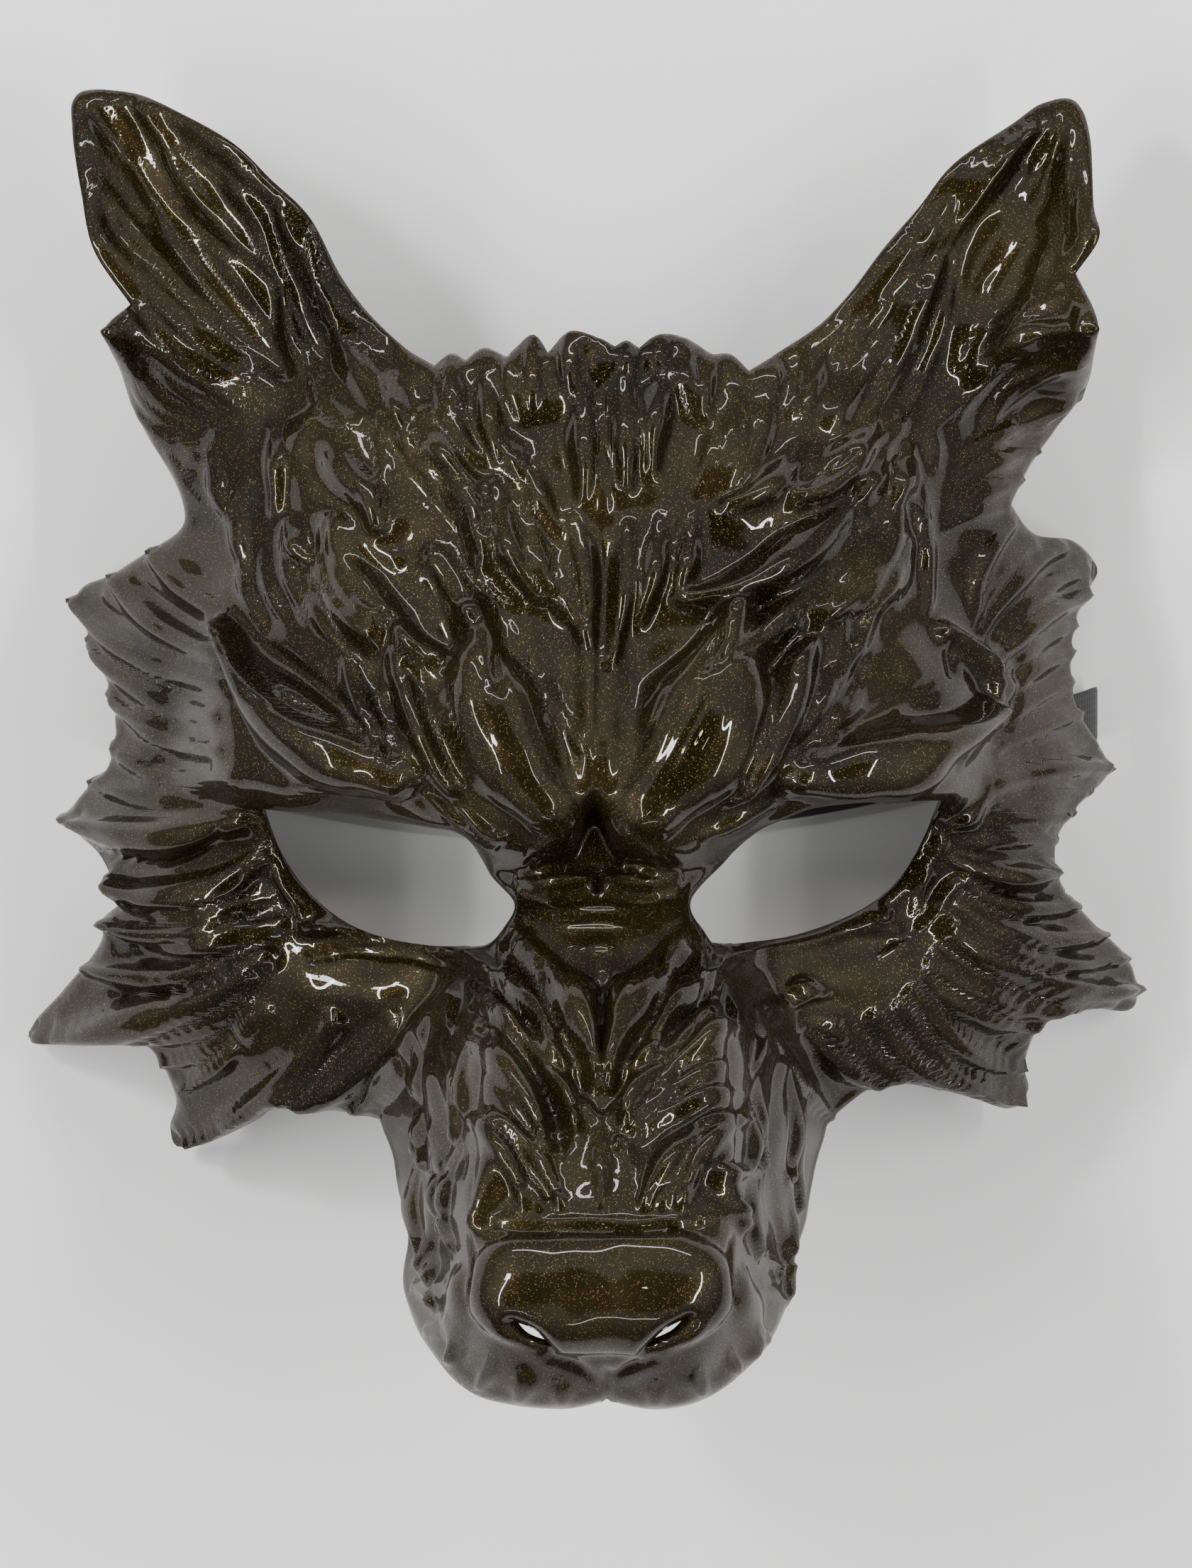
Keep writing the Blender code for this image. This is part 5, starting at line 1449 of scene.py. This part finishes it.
@dataclass(frozen=True)
class BronzeLacquer:
    """Dark bronze paint with fine gold flake under a thick clear lacquer."""

    deep: Colour = (0.0048, 0.0042, 0.0013)
    light: Colour = (0.0180, 0.0130, 0.0046)
    flake: Colour = (0.24, 0.15, 0.05)
    edge: Colour = (0.26, 0.21, 0.14)
    metallic: float = 0.55
    specular: float = 0.2
    coat: float = 0.52
    roughness: float = 0.46
    coat_roughness: float = 0.02
    flake_scale: float = 8500.0
    flake_share: float = 0.94
    cloud_scale: float = 45.0
    cloud_range: tuple[float, float] = (0.35, 0.65)
    rib_width: float = 0.0024
    rib_height: float = 0.00007
    wander_scale: float = 90.0
    wander: float = 7.0
    skin_scale: float = 260.0
    skin_bump: float = 0.00002

    def make(self) -> bpy.types.Material:
        """Lay out the finish.

        Returns:
            The material.
        """
        board = NodeBoard("bronze_lacquer_flaked")
        shader = board.shader
        place = board.add("ShaderNodeTexCoord").outputs["Object"]
        strand = board.add("ShaderNodeAttribute", attribute_name="strand").outputs["Fac"]
        depth = board.add("ShaderNodeAttribute", attribute_name="strand_depth").outputs["Fac"]
        flakes = board.add("ShaderNodeTexVoronoi", Scale=self.flake_scale)
        board.link(place, flakes.inputs["Vector"])
        chance = board.add("ShaderNodeSeparateColor")
        board.link(flakes.outputs["Color"], chance.inputs[0])
        shown = board.math("GREATER_THAN", chance.outputs[0], self.flake_share)
        shown = board.math("MULTIPLY", shown, chance.outputs[1])
        low, high = self.cloud_range
        cloud = board.add("ShaderNodeMapRange", From__Min=low, From__Max=high)
        board.link(board.noise(place, self.cloud_scale, 3.0), cloud.inputs["Value"])
        body = board.mix(cloud.outputs[0], self.deep, self.light)
        board.link(board.mix(shown, body, self.flake), shader.inputs["Base Color"])
        board.set(Metallic=self.metallic, Roughness=self.roughness, Specular__IOR__Level=self.specular,
                  Specular__Tint=(*self.edge, 1.0), Coat__Weight=self.coat,
                  Coat__Roughness=self.coat_roughness)
        wander = board.math("MULTIPLY", board.noise(place, self.wander_scale, 1.0), self.wander)
        turns = board.math("MULTIPLY", strand, 2 * math.pi / self.rib_width)
        ribs = board.math("SINE", board.math("ADD", turns, wander))
        hair = board.math("MULTIPLY", board.math("MULTIPLY", ribs, 0.5), depth)
        skin = board.noise(place, self.skin_scale, 1.0)
        normal = board.bump(skin, self.skin_bump, board.bump(hair, self.rib_height))
        for name in ("Normal", "Coat Normal"):
            board.link(normal, shader.inputs[name])
        return board.material


@dataclass(frozen=True)
class BlackElastic:
    """Matt black elastic with woven ribs along it."""

    yarn: Colour = (0.012, 0.012, 0.013)
    worn: Colour = (0.030, 0.030, 0.032)
    rib_scale: float = 900.0
    rib_share: float = 0.35
    pick_scale: float = 1600.0
    pick_share: float = 0.15
    roughness: float = 0.86
    sheen: float = 0.25
    bump: float = 0.00012

    def make(self) -> bpy.types.Material:
        """Lay out the finish.

        Returns:
            The material.
        """
        board = NodeBoard("black_elastic_woven")
        shader = board.shader
        weave = board.add("ShaderNodeUVMap", uv_map="weave").outputs[0]
        split = board.add("ShaderNodeSeparateXYZ")
        board.link(weave, split.inputs[0])
        ribs = board.math("SINE", board.math("MULTIPLY", split.outputs[1], self.rib_scale * 2 * math.pi))
        picks = board.math("SINE", board.math("MULTIPLY", split.outputs[0], self.pick_scale * 2 * math.pi))
        height = board.math("ADD", board.math("MULTIPLY", ribs, self.rib_share),
                            board.math("MULTIPLY", picks, self.pick_share))
        share = board.math("ADD", board.math("MULTIPLY", height, 0.6), 0.5)
        board.link(board.mix(share, self.yarn, self.worn), shader.inputs["Base Color"])
        board.set(Roughness=self.roughness, Sheen__Weight=self.sheen)
        board.link(board.bump(height, self.bump), shader.inputs["Normal"])
        return board.material


@dataclass(frozen=True)
class BlackPlastic:
    """Moulded black plastic with a fine grain."""

    colour: Colour = (0.020, 0.020, 0.021)
    scuffed: Colour = (0.045, 0.045, 0.046)
    scuff_scale: float = 300.0
    grain_scale: float = 2600.0
    roughness: float = 0.48
    bump: float = 0.00005

    def make(self) -> bpy.types.Material:
        """Lay out the finish.

        Returns:
            The material.
        """
        board = NodeBoard("black_plastic_moulded")
        shader = board.shader
        place = board.add("ShaderNodeTexCoord").outputs["Object"]
        scuffs = board.noise(place, self.scuff_scale, 3.0)
        board.link(board.mix(scuffs, self.colour, self.scuffed), shader.inputs["Base Color"])
        board.set(Roughness=self.roughness)
        board.link(board.bump(board.noise(place, self.grain_scale, 2.0), self.bump), shader.inputs["Normal"])
        return board.material


@dataclass(frozen=True)
class PaleFloor:
    """The plain pale floor's paint."""

    colour: Colour = (0.88, 0.88, 0.88)
    roughness: float = 0.9
    specular: float = 0.1

    def make(self) -> bpy.types.Material:
        """Lay out the finish.

        Returns:
            The material.
        """
        board = NodeBoard("pale_floor")
        board.set(Base__Color=(*self.colour, 1.0), Roughness=self.roughness,
                  Specular__IOR__Level=self.specular)
        return board.material


class Softbox(NamedTuple):
    """A soft light: where it stands round the mask, its size and how bright its face is."""

    name: str
    azimuth: float
    from_zenith: float
    distance: float
    size: tuple[float, float]
    brightness: float
    colour: Colour


@dataclass(frozen=True)
class Studio:
    """The camera straight over the mask, the floor, and a pale tent with softboxes round it."""

    target: tuple[float, float, float] = (0.00165, -0.00597, 0.03)
    camera_height: float = 8.0
    lens: float = 1103.0
    tent_bands: tuple[tuple[float, float], ...] = (
        (0.0, 0.40), (0.20, 0.50), (0.42, 0.95), (0.79, 1.10), (0.87, 0.03),
    )
    tent_low_side: float = 0.35
    softboxes: tuple[Softbox, ...] = (
        Softbox("left_strip", 180.0, 36.0, 1.6, (0.05, 1.3), 90.0, (1.0, 0.99, 0.98)),
        Softbox("right_strip", 0.0, 36.0, 1.6, (0.05, 1.3), 90.0, (1.0, 0.99, 0.98)),
        Softbox("top_strip", 90.0, 60.0, 1.6, (1.3, 0.05), 35.0, (1.0, 1.0, 1.0)),
        Softbox("low_strip", 270.0, 46.0, 1.6, (0.9, 0.03), 30.0, (1.0, 1.0, 1.0)),
        Softbox("left_softbox", 150.0, 40.0, 1.5, (0.20, 0.20), 60.0, (1.0, 1.0, 1.0)),
        Softbox("warm_lamp", 75.0, 12.0, 2.4, (0.04, 0.08), 80.0, (1.0, 0.80, 0.52)),
    )

    def camera(self) -> None:
        """Set the camera up to look straight down, with the ears up the picture."""
        data = bpy.data.cameras.new("camera")
        data.sensor_width = 36.0
        data.lens = self.lens
        data.clip_end = 100.0
        camera = bpy.data.objects.new("camera", data)
        camera.location = (self.target[0], self.target[1], self.camera_height)
        bpy.context.scene.collection.objects.link(camera)
        bpy.context.scene.camera = camera

    def lights(self) -> None:
        """Place the softboxes, each turned to the mask."""
        for box in self.softboxes:
            data = bpy.data.lights.new(box.name, "AREA")
            data.shape = "RECTANGLE"
            data.size, data.size_y = box.size
            data.energy = box.brightness * math.pi * box.size[0] * box.size[1]
            data.color = box.colour
            lamp = bpy.data.objects.new(box.name, data)
            azimuth, lean = math.radians(box.azimuth), math.radians(box.from_zenith)
            lamp.location = (box.distance * math.sin(lean) * math.cos(azimuth),
                             box.distance * math.sin(lean) * math.sin(azimuth), box.distance * math.cos(lean))
            if abs(math.cos(azimuth)) > 0.5:
                lamp.rotation_euler = (0.0, lean * math.copysign(1.0, math.cos(azimuth)), 0.0)
            else:
                lamp.rotation_euler = (-lean * math.copysign(1.0, math.sin(azimuth)), 0.0, 0.0)
            bpy.context.scene.collection.objects.link(lamp)

    def tent(self) -> None:
        """Surround the mask with a pale tent, open and dark overhead."""
        world = bpy.data.worlds.new("pale_tent")
        world.use_nodes = True
        nodes, links = world.node_tree.nodes, world.node_tree.links
        direction = nodes.new("ShaderNodeTexCoord")
        split = nodes.new("ShaderNodeSeparateXYZ")
        links.new(direction.outputs["Generated"], split.inputs[0])
        ramp = nodes.new("ShaderNodeValToRGB")
        ramp.color_ramp.interpolation = "EASE"
        elements = ramp.color_ramp.elements
        while len(elements) < len(self.tent_bands):
            elements.new(0.5)
        for element, (rise, brightness) in zip(elements, self.tent_bands):
            element.position = rise
            element.color = (brightness, brightness, brightness, 1.0)
        links.new(split.outputs[2], ramp.inputs[0])
        links.new(ramp.outputs[0], nodes["Background"].inputs["Color"])
        side = nodes.new("ShaderNodeMapRange")
        side.inputs["From Min"].default_value = -1.0
        side.inputs["From Max"].default_value = 0.0
        side.inputs["To Min"].default_value = self.tent_low_side
        links.new(split.outputs[1], side.inputs["Value"])
        links.new(side.outputs[0], nodes["Background"].inputs["Strength"])
        bpy.context.scene.world = world

    def floor(self) -> None:
        """Lay the floor under the mask."""
        mesh = bmesh.new()
        bmesh.ops.create_grid(mesh, x_segments=4, y_segments=4, size=3.0)
        floor = finished_object("floor", mesh, 30.0)
        floor.data.materials.append(PaleFloor().make())
        bpy.context.scene.collection.objects.link(floor)


def install(piece: bpy.types.Object, material: bpy.types.Material, node: str) -> None:
    """Put a finished piece in the scene in its node's place.

    Args:
        piece: The piece.
        material: Its finish.
        node: The node that it stands for.
    """
    piece.data.materials.append(material)
    bpy.context.scene.collection.objects.link(piece)
    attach(piece, "root")
    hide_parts(node)
    LOG.info("%s: %d triangles", piece.name, sum(len(face.vertices) - 2 for face in piece.data.polygons))


def main() -> None:
    """Build the mask's pieces, dress them and set the studio up round them."""
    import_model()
    chart = Chart()
    form = FaceForm(chart)
    shell_low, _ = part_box("mask_shell")
    shell = MaskShell(form, FurRelief(chart, form))
    install(shell.build(shell_low[2]), BronzeLacquer().make(), "mask_shell")
    strap = ElasticStrap(form, shell.lift)
    install(strap.build(), BlackElastic().make(), "elastic_strap")
    plastic = BlackPlastic().make()
    install(StrapTab(form, strap, -1).build(), plastic, "strap_anchor_left")
    install(StrapTab(form, strap, 1).build(), plastic, "strap_anchor_right")
    studio = Studio()
    studio.camera()
    studio.lights()
    studio.tent()
    studio.floor()


if __name__ == "__main__":
    logging.basicConfig(level=logging.INFO, format="%(name)s %(message)s")
    main()
